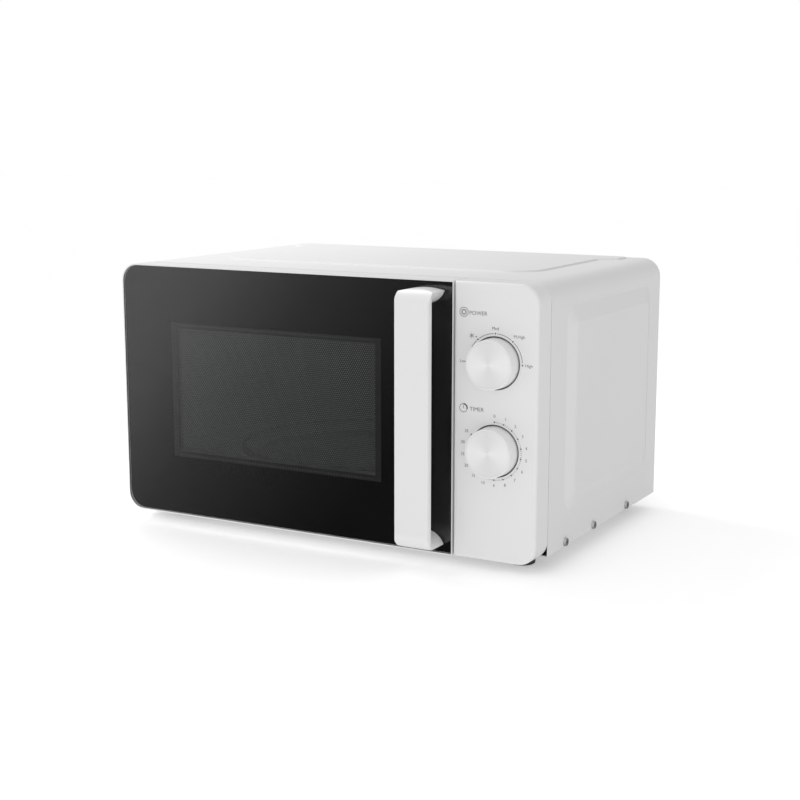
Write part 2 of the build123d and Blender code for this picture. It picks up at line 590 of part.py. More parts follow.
# Roller ring: a moulded ring that carries three rollers on short radial axles.
with BuildPart() as roller_ring:
    with BuildSketch(at_z(WHEEL_Z - 3)):
        with Locations((TABLE_X, TABLE_Y)):
            Circle(RING_R + 4)
            Circle(RING_R - 4, mode=Mode.SUBTRACT)
    extrude(amount=6)
    for index in range(3):
        axle = Plane(origin=(TABLE_X, TABLE_Y, WHEEL_Z)).rotated((0, 0, 120 * index))
        with BuildSketch(Plane(axle.origin + axle.x_dir * RING_R, x_dir=axle.y_dir, z_dir=axle.x_dir)):
            Circle(1.6)
        extrude(amount=TRACK_R + 6 - RING_R)
roller_ring.part.label = "roller_ring"
export_step(roller_ring.part, "parts/roller_ring.step")

for index in range(3):
    turn = math.radians(120 * index)
    outward = Vector(math.cos(turn), math.sin(turn), 0)
    hub = Vector(TABLE_X, TABLE_Y, WHEEL_Z) + outward * (TRACK_R - 4)
    with BuildPart() as roller_wheel:
        with BuildSketch(Plane(origin=hub, z_dir=outward)):
            Circle(WHEEL_R)
            Circle(1.6 + FIT, mode=Mode.SUBTRACT)
        extrude(amount=8)
        chamfer(roller_wheel.edges().filter_by(GeomType.CIRCLE).sort_by(SortBy.RADIUS)[-2:], 0.8)
    roller_wheel.part.label = f"roller_wheel_{index + 1}"
    export_step(roller_wheel.part, f"parts/roller_wheel_{index + 1}.step")

# Glass tray: a flat pressed plate with a raised rim and three lugs underneath for the coupler.
with BuildPart() as glass_tray:
    with BuildSketch(Plane(origin=(TABLE_X, TABLE_Y, TRAY_Z), x_dir=(1, 0, 0), z_dir=(0, -1, 0))):
        with BuildLine():
            Polyline((0, 0), (TRAY_R - 14, 0))
            Polyline((TRAY_R - 14, 0), (TRAY_R, 9), (TRAY_R, 13), (TRAY_R - 5, 13))
            Polyline((TRAY_R - 5, 13), (TRAY_R - 5, 11), (TRAY_R - 16, 4), (0, 4), (0, 0))
        make_face()
    revolve(axis=Axis((TABLE_X, TABLE_Y, 0), (0, 0, 1)))
    with BuildSketch(at_z(TRAY_Z - 4)):
        with Locations((TABLE_X, TABLE_Y)):
            with PolarLocations(20, 3, start_angle=60):
                Circle(4)
    extrude(amount=4)
glass_tray.part.label = "glass_tray"
export_step(glass_tray.part, "parts/glass_tray.step")

# ================================================================ controls
# Control panel: a moulded front with two round wells for the knobs.
WELL_DEPTH = 2.0
FACE_WALL = 3.0
SIDE_WALL = 2.2
PANEL_BACK = Y_PLATE
with BuildPart() as control_panel:
    with BuildSketch(at_y(PANEL_BACK)) as outline:
        span((PANEL_LEFT, Z_FRONT), (X_RIGHT, Z_TOP))
        fillet(outline.vertices().group_by(Axis.X)[-1], CORNER_R)
    extrude(amount=PANEL_BACK - Y_FACE)
    fillet(control_panel.faces().sort_by(Axis.Y)[0].edges(), 3.0)
    with BuildSketch(at_x(PANEL_LEFT - 1)):
        with BuildLine():
            Polyline((PANEL_BACK - 7, Z_FRONT), (PANEL_BACK, Z_FRONT), (PANEL_BACK, Z_FRONT + 3.4),
                     close=True)
        make_face()
    extrude(amount=X_RIGHT - PANEL_LEFT + 2, mode=Mode.SUBTRACT)
    with BuildSketch(at_y(PANEL_BACK)) as hollow:
        span((PANEL_LEFT + SIDE_WALL, Z_FRONT + 5), (X_RIGHT - SIDE_WALL, Z_TOP - SIDE_WALL))
        fillet(hollow.vertices().group_by(Axis.X)[-1], CORNER_R - SIDE_WALL - 1)
    extrude(amount=PANEL_BACK - Y_FACE - FACE_WALL, mode=Mode.SUBTRACT)
    for z in (POWER_Z, TIMER_Z):
        rod_y(KNOB_X, z, KNOB_R + 0.6, (Y_FACE - 1, Y_FACE + WELL_DEPTH), Mode.SUBTRACT)
        rod_y(KNOB_X, z, 5.0, (Y_FACE - 1, Y_FACE + 8), Mode.SUBTRACT)
control_panel.part.label = "control_panel"
export_step(control_panel.part, "parts/control_panel.step")

# Timer unit: the clockwork timer and the power selector in one case behind the panel.
TIMER_Y = (Y_FACE + 8.0, -96.0)
SPINDLE_R = 3.0
with BuildPart() as timer_unit:
    block((157, 204), TIMER_Y, (84, 214))
    for z in (POWER_Z, TIMER_Z):
        rod_y(KNOB_X, z, 7.0, (Y_FACE + 4, TIMER_Y[0]))
        rod_y(KNOB_X, z, SPINDLE_R + FIT, (Y_FACE - 1, Y_FACE + 30), Mode.SUBTRACT)
    block((168, 192), (TIMER_Y[1], TIMER_Y[1] + 14), (96, 128))
    block((176, 184), (TIMER_Y[0], TIMER_Y[0] + 2), (214, 220))
timer_unit.part.label = "timer_unit"
export_step(timer_unit.part, "parts/timer_unit.step")

# Knobs: a hollow moulded skirt with a spun metal cap, pressed on the unit's spindle.
KNOB_FACE = Y_FACE - 14.0
for name, z, pointer_angle in (("power", POWER_Z, 180), ("timer", TIMER_Z, 90)):
    front = Plane(origin=(KNOB_X, Y_FACE + WELL_DEPTH - 0.4, z), x_dir=(1, 0, 0), z_dir=(0, -1, 0))
    height = Y_FACE + WELL_DEPTH - 0.4 - KNOB_FACE
    with BuildPart() as knob:
        with BuildSketch(front):
            Circle(KNOB_R)
        extrude(amount=height, taper=2.5)
        fillet(knob.faces().sort_by(Axis.Y)[0].edges(), 0.8)
        with BuildSketch(front.offset(height)):
            Circle(19.9)
        extrude(amount=-1.0, mode=Mode.SUBTRACT)
        with BuildSketch(front):
            Circle(19.4)
            Circle(6.5, mode=Mode.SUBTRACT)
        extrude(amount=height - 3, mode=Mode.SUBTRACT)
        with BuildSketch(front):
            Circle(SPINDLE_R)
        extrude(amount=height - 3, mode=Mode.SUBTRACT)
    knob.part.label = f"{name}_knob"
    export_step(knob.part, f"parts/{name}_knob.step")

    with BuildPart() as cap:
        with BuildSketch(front.offset(height - 1)):
            Circle(19.8)
        extrude(amount=0.9)
        with BuildSketch(front.offset(height - 0.1)):
            with PolarLocations(15.6, 1, start_angle=pointer_angle):
                Rectangle(5.5, 0.9)
        extrude(amount=-0.25, mode=Mode.SUBTRACT)
    cap.part.label = f"{name}_knob_cap"
    export_step(cap.part, f"parts/{name}_knob_cap.step")

    with BuildPart() as spindle:
        with BuildSketch(front.offset(height - 3)):
            Circle(SPINDLE_R)
        extrude(amount=-(height + 20))
    spindle.part.label = f"{name}_spindle"
    export_step(spindle.part, f"parts/{name}_spindle.step")

# ================================================================ hinges
# Hinge arms: thick steel plates that reach through the front plate, each with a pin for the door.
BOSS_Z = ((23.2, 46.0), (224.0, 245.8))
for name, arm_z, pin_z, flange_z in (("lower_hinge", HINGE_ARM_Z[0], (22.5, 36.0), (20.0, 56.0)),
                                    ("upper_hinge", HINGE_ARM_Z[1], (234.0, 246.5), (214.0, 249.0))):
    with BuildPart() as hinge:
        with BuildSketch(at_z(arm_z[0])):
            with Locations((HINGE_X, HINGE_Y)):
                Circle(4.5)
            span((HINGE_X - 4.5, HINGE_Y), (HINGE_X + 4.5, Y_SHELL + 2))
        extrude(amount=arm_z[1] - arm_z[0])
        block((HINGE_X - 7, HINGE_X + 14), (Y_SHELL, Y_SHELL + 2), flange_z)
        rod_z(HINGE_X, HINGE_Y, PIN_R, pin_z)
    hinge.part.label = name
    export_step(hinge.part, f"parts/{name}.step")

# ================================================================ door
GLASS_THICK = 3.4
GLASS_LIP = 1.2               # frame showing round the glass
SWING_R = 11.5                # rounding beside the hinge, so that the open door clears the front plate
WEB_Y = (Y_FACE + 3.6, Y_FACE + 6.6)
TRAY_X = (-201.0, 113.0)      # steel seal tray on the door's back
SEAL_Z = (28.0, 250.0)
WEB_HOLE_X = (WINDOW_X[0] - 9, WINDOW_X[1] + 9)
WEB_HOLE_Z = (WINDOW_Z[0] - 9, WINDOW_Z[1] + 9)
HANDLE_X = 115.0
HANDLE_SCREW_Z = (27.0, 242.5)


def door_outline(inset, right_inset, radius):
    """The door's front outline, drawn in by inset, rounded at its two left corners."""
    with BuildSketch(mode=Mode.PRIVATE) as shape:
        span((X_LEFT + inset, Z_FRONT + inset), (DOOR_RIGHT - right_inset, Z_TOP - inset))
        fillet(shape.vertices().group_by(Axis.X)[0], radius)
    return shape.sketch


# Frame: one moulding with a rim, a web behind the glass, and bosses for the hinge pins.
with BuildPart() as door_frame:
    with BuildSketch(at_y(Y_DOOR_BACK)):
        add(door_outline(0, 0, CORNER_R))
    extrude(amount=Y_DOOR_BACK - Y_FACE)
    with BuildSketch(at_z(Z_FRONT)) as plan:
        span((X_LEFT, Y_FACE), (DOOR_RIGHT, Y_DOOR_BACK))
        fillet(plan.vertices().group_by(Axis.Y)[-1].sort_by(Axis.X)[0], SWING_R)
    extrude(amount=FRONT_HEIGHT, mode=Mode.INTERSECT)
    with BuildSketch(at_y(Y_DOOR_BACK)):
        add(door_outline(3, 3, CORNER_R - 3))
    extrude(amount=Y_DOOR_BACK - WEB_Y[1], mode=Mode.SUBTRACT)
    with BuildSketch(at_y(WEB_Y[0])):
        add(door_outline(GLASS_LIP, 0.6, CORNER_R - GLASS_LIP))
    extrude(amount=WEB_Y[0] - Y_FACE, mode=Mode.SUBTRACT)
    block(WEB_HOLE_X, (WEB_Y[0] - 1, WEB_Y[1] + 1), WEB_HOLE_Z, Mode.SUBTRACT)
    for z in BOSS_Z:
        rod_z(HINGE_X, HINGE_Y, 6.0, z)
    rod_z(HINGE_X, HINGE_Y, PIN_R + FIT, (BOSS_Z[0][0] - 1, BOSS_Z[0][1] - 6), Mode.SUBTRACT)
    rod_z(HINGE_X, HINGE_Y, PIN_R + FIT, (BOSS_Z[1][0] + 6, BOSS_Z[1][1] + 1), Mode.SUBTRACT)
    for low, high in HINGE_ARM_Z:
        block((X_LEFT - 1, X_LEFT + 9), (Y_FACE + 4.5, Y_DOOR_BACK + 1), (low - 0.6, high + 0.6),
              Mode.SUBTRACT)
    for z in HANDLE_SCREW_Z:
        rod_y(HANDLE_X, z, 2.3, (WEB_Y[0] - 1, WEB_Y[1] + 1), Mode.SUBTRACT)
    block((114, 134), (WEB_Y[1], -120), (226, 229))
door_frame.part.label = "door_frame"
export_step(door_frame.part, "parts/door_frame.step")

with BuildPart() as door_glass:
    with BuildSketch(at_y(Y_FACE + GLASS_THICK)):
        add(door_outline(GLASS_LIP + 0.1, 0.7, CORNER_R - GLASS_LIP - 0.1))
        with Locations(*[(HANDLE_X, z) for z in HANDLE_SCREW_Z]):
            Circle(2.6, mode=Mode.SUBTRACT)
    extrude(amount=GLASS_THICK)
door_glass.part.label = "door_glass"
export_step(door_glass.part, "parts/door_glass.step")

# Inner panel: the pressed steel screen, folded back round its edge as the seal's tray.
TRAY_RIM_Y = -117.0
with BuildPart() as door_inner_panel:
    block(TRAY_X, (WEB_Y[1], WEB_Y[1] + SHEET), SEAL_Z)
    block(TRAY_X, (WEB_Y[1] + SHEET, TRAY_RIM_Y), SEAL_Z)
    block((TRAY_X[0] + SHEET, TRAY_X[1] - SHEET), (WEB_Y[1] + SHEET, TRAY_RIM_Y + 1),
          (SEAL_Z[0] + SHEET, SEAL_Z[1] - SHEET), Mode.SUBTRACT)
door_inner_panel.part.label = "door_inner_panel"
export_step(door_inner_panel.part, "parts/door_inner_panel.step")

# Seal cover: the moulded frame snapped over the tray and the latch, with slots for the hooks.
with BuildPart() as seal_cover:
    with BuildSketch(at_y(Y_DOOR_BACK)):
        span((TRAY_X[0], SEAL_Z[0] - 8), (DOOR_RIGHT - 3.3, SEAL_Z[1] + 1.5))
        span((WINDOW_X[0] - 14, WINDOW_Z[0] - 16), (WINDOW_X[1] + 14, WINDOW_Z[1] + 16))
    extrude(amount=1.8)
    block((WINDOW_X[0] - 14, WINDOW_X[1] + 14), (Y_DOOR_BACK - 3, Y_DOOR_BACK + 1),
          (WINDOW_Z[0] - 16, WINDOW_Z[1] + 16), Mode.SUBTRACT)
    with BuildSketch(at_y(Y_DOOR_BACK - 1.8)):
        span((WINDOW_X[0] - 16, WINDOW_Z[0] - 18), (WINDOW_X[1] + 16, WINDOW_Z[1] + 18))
    extrude(amount=14)
    block((WINDOW_X[0] - 14, WINDOW_X[1] + 14), (WEB_Y[0], Y_DOOR_BACK + 1),
          (WINDOW_Z[0] - 16, WINDOW_Z[1] + 16), Mode.SUBTRACT)
    for low, high in (UPPER_HOOK_Z, LOWER_HOOK_Z):
        block((HOOK_X[0] - 0.6, HOOK_X[1] + 0.6), (Y_DOOR_BACK - 3, Y_DOOR_BACK + 1), (low - 4.5, high + 5),
              Mode.SUBTRACT)
seal_cover.part.label = "seal_cover"
export_step(seal_cover.part, "parts/seal_cover.step")

# Latch hook: a sliding bar in the door's right edge with two hooked fingers.
BAR_Y = (-130.0, -118.0)
FINGER_TIP = -94.0
with BuildPart() as latch_hook:
    block((120, 128), BAR_Y, (58, 204))
    for low, high in (UPPER_HOOK_Z, LOWER_HOOK_Z):
        block(HOOK_X, (BAR_Y[1], FINGER_TIP), (low, high))
        block(HOOK_X, (FINGER_TIP - 5, FINGER_TIP), (low - 3, low))
    chamfer(latch_hook.edges().filter_by(Axis.X).group_by(Axis.Y)[-1], 2)
latch_hook.part.label = "latch_hook"
export_step(latch_hook.part, "parts/latch_hook.step")

# Latch spring: pushes the bar down from the shelf in the frame.
SPRING_Z = (204.0, 226.0)
with BuildPart() as latch_spring:
    with BuildLine():
        coil = Helix(2.75, SPRING_Z[1] - SPRING_Z[0] - 1.0, 3.0, center=(124, -124, SPRING_Z[0] + 0.5))
    with BuildSketch(Plane(origin=coil @ 0, z_dir=coil % 0)):
        Circle(0.45)
    sweep(is_frenet=True)
latch_spring.part.label = "latch_spring"
export_step(latch_spring.part, "parts/latch_spring.step")

# Handle: a flat bow on two almond-shaped feet, screwed on from inside the door.
HANDLE_WIDTH = 34.0
HANDLE_Z = (22.3, 247.2)
HANDLE_BULGE = 2.2            # outward curve of each end
FOOT_DEPTH = 11.7             # inward curve of each foot
BOW_THICK = 7.0
BOW_R = 16.0


def end_curve(z, sign, reach):
    """Half of a foot's outline: an arc from side to side that bulges by reach."""
    half = HANDLE_WIDTH / 2
    ThreePointArc((HANDLE_X - half, z), (HANDLE_X, z + sign * reach), (HANDLE_X + half, z))


with BuildPart() as handle:
    with BuildSketch(at_z(HANDLE_Z[0] - HANDLE_BULGE)) as bow:
        span((HANDLE_X - HANDLE_WIDTH / 2, Y_FACE - HANDLE_REACH),
             (HANDLE_X + HANDLE_WIDTH / 2, Y_FACE - HANDLE_REACH + BOW_THICK))
        fillet(bow.vertices().group_by(Axis.Y)[0], 2.5)
        fillet(bow.vertices().group_by(Axis.Y)[-1], 1.5)
    extrude(amount=HANDLE_Z[1] - HANDLE_Z[0] + 2 * HANDLE_BULGE)
    for z, sign in ((HANDLE_Z[0], -1), (HANDLE_Z[1], 1)):
        with BuildSketch(at_y(Y_FACE)):
            with BuildLine():
                end_curve(z, sign, HANDLE_BULGE)
                end_curve(z, -sign, FOOT_DEPTH)
            make_face()
        extrude(amount=HANDLE_REACH - 3)
    with BuildSketch(at_y(Y_FACE)):
        with BuildLine():
            end_curve(HANDLE_Z[0], -1, HANDLE_BULGE)
            end_curve(HANDLE_Z[1], 1, HANDLE_BULGE)
            for sign in (-1, 1):
                x = HANDLE_X + sign * HANDLE_WIDTH / 2
                Line((x, HANDLE_Z[0]), (x, HANDLE_Z[1]))
        make_face()
    extrude(amount=HANDLE_REACH, mode=Mode.INTERSECT)
    with BuildSketch(at_x(HANDLE_X - HANDLE_WIDTH)) as side_view:
        span((Y_FACE - HANDLE_REACH, HANDLE_Z[0] - HANDLE_BULGE), (Y_FACE, HANDLE_Z[1] + HANDLE_BULGE))
        fillet(side_view.vertices().group_by(Axis.X)[0], BOW_R)
    extrude(amount=2 * HANDLE_WIDTH, mode=Mode.INTERSECT)
    for z in HANDLE_SCREW_Z:
        rod_y(HANDLE_X, z, 2.0, (Y_FACE - 14, Y_FACE + 1), Mode.SUBTRACT)
handle.part.label = "handle"
export_step(handle.part, "parts/handle.step")

with BuildPart() as handle_screws:
    for z in HANDLE_SCREW_Z:
        rod_y(HANDLE_X, z, 2.0, (Y_FACE - 13, WEB_Y[1]))
handle_screws.part.label = "handle_screws"
export_step(handle_screws.part, "parts/handle_screws.step")

# ================================================================ door latch and switches in the bay
# Latch bracket: a moulded plate behind the front plate with two catches and seats for three switches.
with BuildPart() as latch_bracket:
    block((112, 115), (Y_SHELL, -60), (56, 212))
    block((115, 134), (Y_SHELL, Y_SHELL + 2.5), (56, 212))
    for low, high in (UPPER_HOOK_Z, LOWER_HOOK_Z):
        block((118, 131), (Y_SHELL - 1, Y_SHELL + 4), (low - 6, high + 6), Mode.SUBTRACT)
        block((115, 131), (-106, -102), (low - 10, low - 3.4))
latch_bracket.part.label = "latch_bracket"
export_step(latch_bracket.part, "parts/latch_bracket.step")

# Door switches: three snap switches, pressed by the hooks while the door is shut.
SWITCH_Y = (-91.0, -63.0)
for index, z in enumerate((193.0, 84.5, 68.0)):
    with BuildPart() as door_switch:
        block((115, 129), SWITCH_Y, (z - 7.9, z + 7.9))
        rod_y(124, z, 1.5 + FIT, (SWITCH_Y[0] - 1, SWITCH_Y[0] + 8), Mode.SUBTRACT)
        for dy in (8, 20):
            block((129, 136), (SWITCH_Y[0] + dy - 3, SWITCH_Y[0] + dy + 3), (z - 0.4, z + 0.4))
    door_switch.part.label = f"door_switch_{index + 1}"
    export_step(door_switch.part, f"parts/door_switch_{index + 1}.step")

    with BuildPart() as plunger:
        rod_y(124, z, 1.5, (FINGER_TIP + 0.4, SWITCH_Y[0] + 5))
    plunger.part.label = f"switch_plunger_{index + 1}"
    export_step(plunger.part, f"parts/switch_plunger_{index + 1}.step")
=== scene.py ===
import math

import bmesh
import bpy
from mathutils import Matrix, Vector


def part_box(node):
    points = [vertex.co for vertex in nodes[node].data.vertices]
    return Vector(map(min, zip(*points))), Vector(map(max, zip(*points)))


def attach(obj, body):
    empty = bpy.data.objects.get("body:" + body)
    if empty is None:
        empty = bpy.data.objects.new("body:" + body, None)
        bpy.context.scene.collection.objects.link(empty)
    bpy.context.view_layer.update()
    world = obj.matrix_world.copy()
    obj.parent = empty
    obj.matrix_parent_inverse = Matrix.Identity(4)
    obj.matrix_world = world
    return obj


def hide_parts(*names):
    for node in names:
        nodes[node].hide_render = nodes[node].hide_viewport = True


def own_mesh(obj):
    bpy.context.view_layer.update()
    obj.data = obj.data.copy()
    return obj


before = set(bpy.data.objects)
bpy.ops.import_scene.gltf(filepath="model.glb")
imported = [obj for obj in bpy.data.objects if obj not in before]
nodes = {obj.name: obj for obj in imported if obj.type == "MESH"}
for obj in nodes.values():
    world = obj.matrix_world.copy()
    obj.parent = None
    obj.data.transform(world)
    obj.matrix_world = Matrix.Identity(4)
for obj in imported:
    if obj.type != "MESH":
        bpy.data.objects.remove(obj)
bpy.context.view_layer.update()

# ---------------------------------------------------------------- studio
# A pale table under a soft white sky. The sky is plain white to the camera, and the light that it gives is
# a little stronger from above and from the front. One soft box brightens the left of the top.
MM = 0.001
scene = bpy.context.scene
scene.view_settings.view_transform = "Standard"

CAMERA_PLACE = (0.71508, -1.27126, 0.38074)
CAMERA_LENS = 67.02                           # in millimetres
CAMERA_DOWN = 0.17807                         # how far it looks below level, in radians
CAMERA_ROUND = 0.50611                        # how far it is turned to the left, in radians
camera_data = bpy.data.cameras.new("camera")
camera_data.lens = CAMERA_LENS
camera = bpy.data.objects.new("camera", camera_data)
camera.location = CAMERA_PLACE
camera.rotation_euler = (math.pi / 2 - CAMERA_DOWN, 0, CAMERA_ROUND)
scene.collection.objects.link(camera)
scene.camera = camera


def add_node(tree, kind, inputs=(), **settings):
    """Adds a node with its settings, and sets each named or numbered input or links it to a socket."""
    made = tree.nodes.new(kind)
    for name, value in settings.items():
        setattr(made, name, value)
    for key, value in dict(inputs).items():
        if isinstance(value, bpy.types.NodeSocket):
            tree.links.new(value, made.inputs[key])
        else:
            made.inputs[key].default_value = value
    return made


def math_node(tree, operation, a, b=0.0):
    """The result socket of one sum on numbers or sockets."""
    return add_node(tree, "ShaderNodeMath", {0: a, 1: b}, operation=operation).outputs[0]


SKY_LEVEL = 0.595
SKY_SLOPE = (-0.053, -0.23, 0.203)
world = bpy.data.worlds.new("sky")
world.use_nodes = True
scene.world = world
sky = world.node_tree
sky.nodes.clear()
upward = add_node(sky, "ShaderNodeTexCoord").outputs["Generated"]
slope = add_node(sky, "ShaderNodeVectorMath", {0: upward, 1: SKY_SLOPE}, operation="DOT_PRODUCT")
level = math_node(sky, "ADD", slope.outputs["Value"], SKY_LEVEL)
lighting = add_node(sky, "ShaderNodeBackground", {"Strength": level})
seen = add_node(sky, "ShaderNodeBackground", {"Strength": 1.0})
for background in (lighting, seen):
    background.inputs["Color"].default_value = (1, 1, 1, 1)
path = add_node(sky, "ShaderNodeLightPath")
sky_mix = add_node(sky, "ShaderNodeMixShader", {0: path.outputs["Is Camera Ray"],
                                               1: lighting.outputs[0], 2: seen.outputs[0]})
add_node(sky, "ShaderNodeOutputWorld", {"Surface": sky_mix.outputs[0]})


def new_material(name):
    """A material with its Principled shader: the material, its tree and the shader."""
    material = bpy.data.materials.new(name)
    material.use_nodes = True
    return material, material.node_tree, material.node_tree.nodes["Principled BSDF"]


def new_object(name, mesh, *materials):
    """An object at the origin for a mesh whose place is in its points."""
    for material in materials:
        mesh.materials.append(material)
    made = bpy.data.objects.new(name, mesh)
    scene.collection.objects.link(made)
    return made


def flat_sheet(name, corners, material):
    """One four-cornered face."""
    mesh = bpy.data.meshes.new(name)
    mesh.from_pydata([Vector(corner) for corner in corners], [], [range(4)])
    return new_object(name, mesh, material)


FLOOR_REACH = 9.0
FLOOR_GLOW = 0.333                            # the table's own light keeps it nearly as pale as the sky
floor_paint, tree, shader = new_material("floor_paint")
spot = add_node(tree, "ShaderNodeTexCoord").outputs["Object"]
mottle = add_node(tree, "ShaderNodeTexNoise", {"Vector": spot, "Scale": 3.0, "Detail": 2.0})
shade = add_node(tree, "ShaderNodeMapRange", {"Value": mottle.outputs["Fac"], "To Min": 0.90,
                                              "To Max": 0.92})
tree.links.new(shade.outputs[0], shader.inputs["Base Color"])
shader.inputs["Roughness"].default_value = 0.9
shader.inputs["Specular IOR Level"].default_value = 0.0
shader.inputs["Emission Color"].default_value = (1, 1, 1, 1)
shader.inputs["Emission Strength"].default_value = FLOOR_GLOW
floor_paint.cycles.emission_sampling = "NONE"
floor = flat_sheet("floor", [(-FLOOR_REACH, -FLOOR_REACH, 0), (FLOOR_REACH, -FLOOR_REACH, 0),
                             (FLOOR_REACH, FLOOR_REACH, 0), (-FLOOR_REACH, FLOOR_REACH, 0)], floor_paint)
floor.visible_glossy = False
floor.visible_transmission = False


def soft_box(name, place, aim, size, power):
    """A square lamp that the camera doesn't see."""
    data = bpy.data.lights.new(name, "AREA")
    data.size = size
    data.energy = power
    lamp = bpy.data.objects.new(name, data)
    lamp.location = place
    lamp.rotation_euler = (Vector(aim) - Vector(place)).to_track_quat("-Z", "Y").to_euler()
    lamp.visible_camera = False
    scene.collection.objects.link(lamp)
    return lamp


soft_box("top_box", place=(-0.5, 0.12, 0.9), aim=(-0.12, 0.05, 0.2), size=0.5, power=3.6)

# The dark card that the door glass mirrors: it stands ahead of the door on the left and glows at its upper
# left. Only reflections and views through glass meet it, and its edges fade into the sky.
CARD_Y = -1.5
CARD_X = (-1.8, -1.42, -0.53, -0.15)          # its ends, and between them where it is whole
CARD_Z = (-0.9, -0.50, 0.16, 0.45)
CARD_TILT = Vector((-0.345, 0.0, 0.30))       # how fast the light grows along X and Z
CARD_START = -0.1593
CARD_STOPS = ((0.0, 0.068), (0.04, 0.105), (0.08, 0.17), (0.12, 0.25), (0.16, 0.35), (0.20, 0.53),
              (0.245, 0.78), (0.30, 0.96), (0.34, 1.0))
card_light = bpy.data.materials.new("card_light")
card_light.use_nodes = True
tree = card_light.node_tree
tree.nodes.clear()
spot = add_node(tree, "ShaderNodeTexCoord").outputs["Object"]
along = add_node(tree, "ShaderNodeVectorMath", {0: spot, 1: CARD_TILT}, operation="DOT_PRODUCT")
height = math_node(tree, "ADD", along.outputs["Value"], CARD_START)
fade = add_node(tree, "ShaderNodeValToRGB", {"Fac": height})
fade.color_ramp.elements[0].position = CARD_STOPS[0][0]
fade.color_ramp.elements[1].position = CARD_STOPS[-1][0]
for position, level in CARD_STOPS[1:-1]:
    fade.color_ramp.elements.new(position)
for element, (position, level) in zip(fade.color_ramp.elements, CARD_STOPS):
    element.color = (level, level, level, 1)
glow = add_node(tree, "ShaderNodeEmission", {"Color": fade.outputs["Color"], "Strength": 1.0})
clear = add_node(tree, "ShaderNodeBsdfTransparent")
apart = add_node(tree, "ShaderNodeSeparateXYZ", {"Vector": spot})
whole = 1.0
for axis, (start, full, fading, end) in (("X", CARD_X), ("Z", CARD_Z)):
    for edge, inside in ((start, full), (end, fading)):
        share = add_node(tree, "ShaderNodeMapRange", {"Value": apart.outputs[axis], "From Min": edge,
                                                     "From Max": inside}, interpolation_type="SMOOTHSTEP")
        whole = math_node(tree, "MULTIPLY", share.outputs[0], whole)
faded = add_node(tree, "ShaderNodeMixShader", {0: whole, 1: clear.outputs[0], 2: glow.outputs[0]})
add_node(tree, "ShaderNodeOutputMaterial", {"Surface": faded.outputs[0]})
card_light.cycles.emission_sampling = "NONE"
card = flat_sheet("card", [(CARD_X[0], CARD_Y, CARD_Z[0]), (CARD_X[3], CARD_Y, CARD_Z[0]),
                           (CARD_X[3], CARD_Y, CARD_Z[3]), (CARD_X[0], CARD_Y, CARD_Z[3])], card_light)
card.visible_camera = False
card.visible_diffuse = False
card.visible_shadow = False
card.visible_volume_scatter = False

# ---------------------------------------------------------------- cabinet wrapper
# One sheet of steel folded over the sides and the top, with a raised field pressed into each, sprayed with
# white powder and baked. The coat has a faint pebbled skin and melts evenly over the creases.


def begin_group(name, kind, inputs, outputs):
    """Opens a node group with named sockets: its tree, its input node and its output node."""
    tree = bpy.data.node_groups.new(name, kind)
    for label, socket_type, value in inputs:
        socket = tree.interface.new_socket(label, in_out="INPUT", socket_type=socket_type)
        if value is not None:
            socket.default_value = value
    for label, socket_type in outputs:
        tree.interface.new_socket(label, in_out="OUTPUT", socket_type=socket_type)
    return tree, tree.nodes.new("NodeGroupInput"), tree.nodes.new("NodeGroupOutput")


NUMBER = "NodeSocketFloat"
VECTOR = "NodeSocketVector"
skin, given, result = begin_group(
    "skin", "ShaderNodeTree",
    [("Vector", VECTOR, None), ("Grain", NUMBER, 900.0), ("Patch", NUMBER, 9.0),
     ("Tone spread", NUMBER, 0.02),
     ("Roughness", NUMBER, 0.4), ("Roughness spread", NUMBER, 0.1)],
    [("Tone", NUMBER), ("Roughness", NUMBER), ("Height", NUMBER)])
grain = add_node(skin, "ShaderNodeTexNoise", {"Vector": given.outputs["Vector"],
                                              "Scale": given.outputs["Grain"],
                                             "Detail": 2.0})
patch = add_node(skin, "ShaderNodeTexNoise", {"Vector": given.outputs["Vector"],
                                              "Scale": given.outputs["Patch"],
                                             "Detail": 4.0})
darkest = math_node(skin, "SUBTRACT", 1.0, given.outputs["Tone spread"])
tone = add_node(skin, "ShaderNodeMapRange", {"Value": patch.outputs["Fac"], "From Min": 0.3, "From Max": 0.7,
                                            "To Min": darkest, "To Max": 1.0})
mixed = math_node(skin, "ADD", math_node(skin, "MULTIPLY", patch.outputs["Fac"], 0.6),
                  math_node(skin, "MULTIPLY", grain.outputs["Fac"], 0.4))
swing = math_node(skin, "MULTIPLY", math_node(skin, "SUBTRACT", mixed, 0.5),
                  given.outputs["Roughness spread"])
skin.links.new(tone.outputs[0], result.inputs["Tone"])
skin.links.new(math_node(skin, "ADD", given.outputs["Roughness"], swing), result.inputs["Roughness"])
skin.links.new(grain.outputs["Fac"], result.inputs["Height"])


def tinted(tree, colour, tone):
    """A colour darkened by a mask, as a socket."""
    mix = add_node(tree, "ShaderNodeMix", {0: 1.0, 6: (*colour, 1)}, data_type="RGBA", blend_type="MULTIPLY")
    tree.links.new(tone, mix.inputs[7])
    return mix.outputs[2]


def relief(tree, shader, height, depth):
    """Turns a height mask into the shader's bump, depth metres deep."""
    bump = add_node(tree, "ShaderNodeBump", {"Height": height, "Distance": depth, "Strength": 1.0})
    tree.links.new(bump.outputs[0], shader.inputs["Normal"])


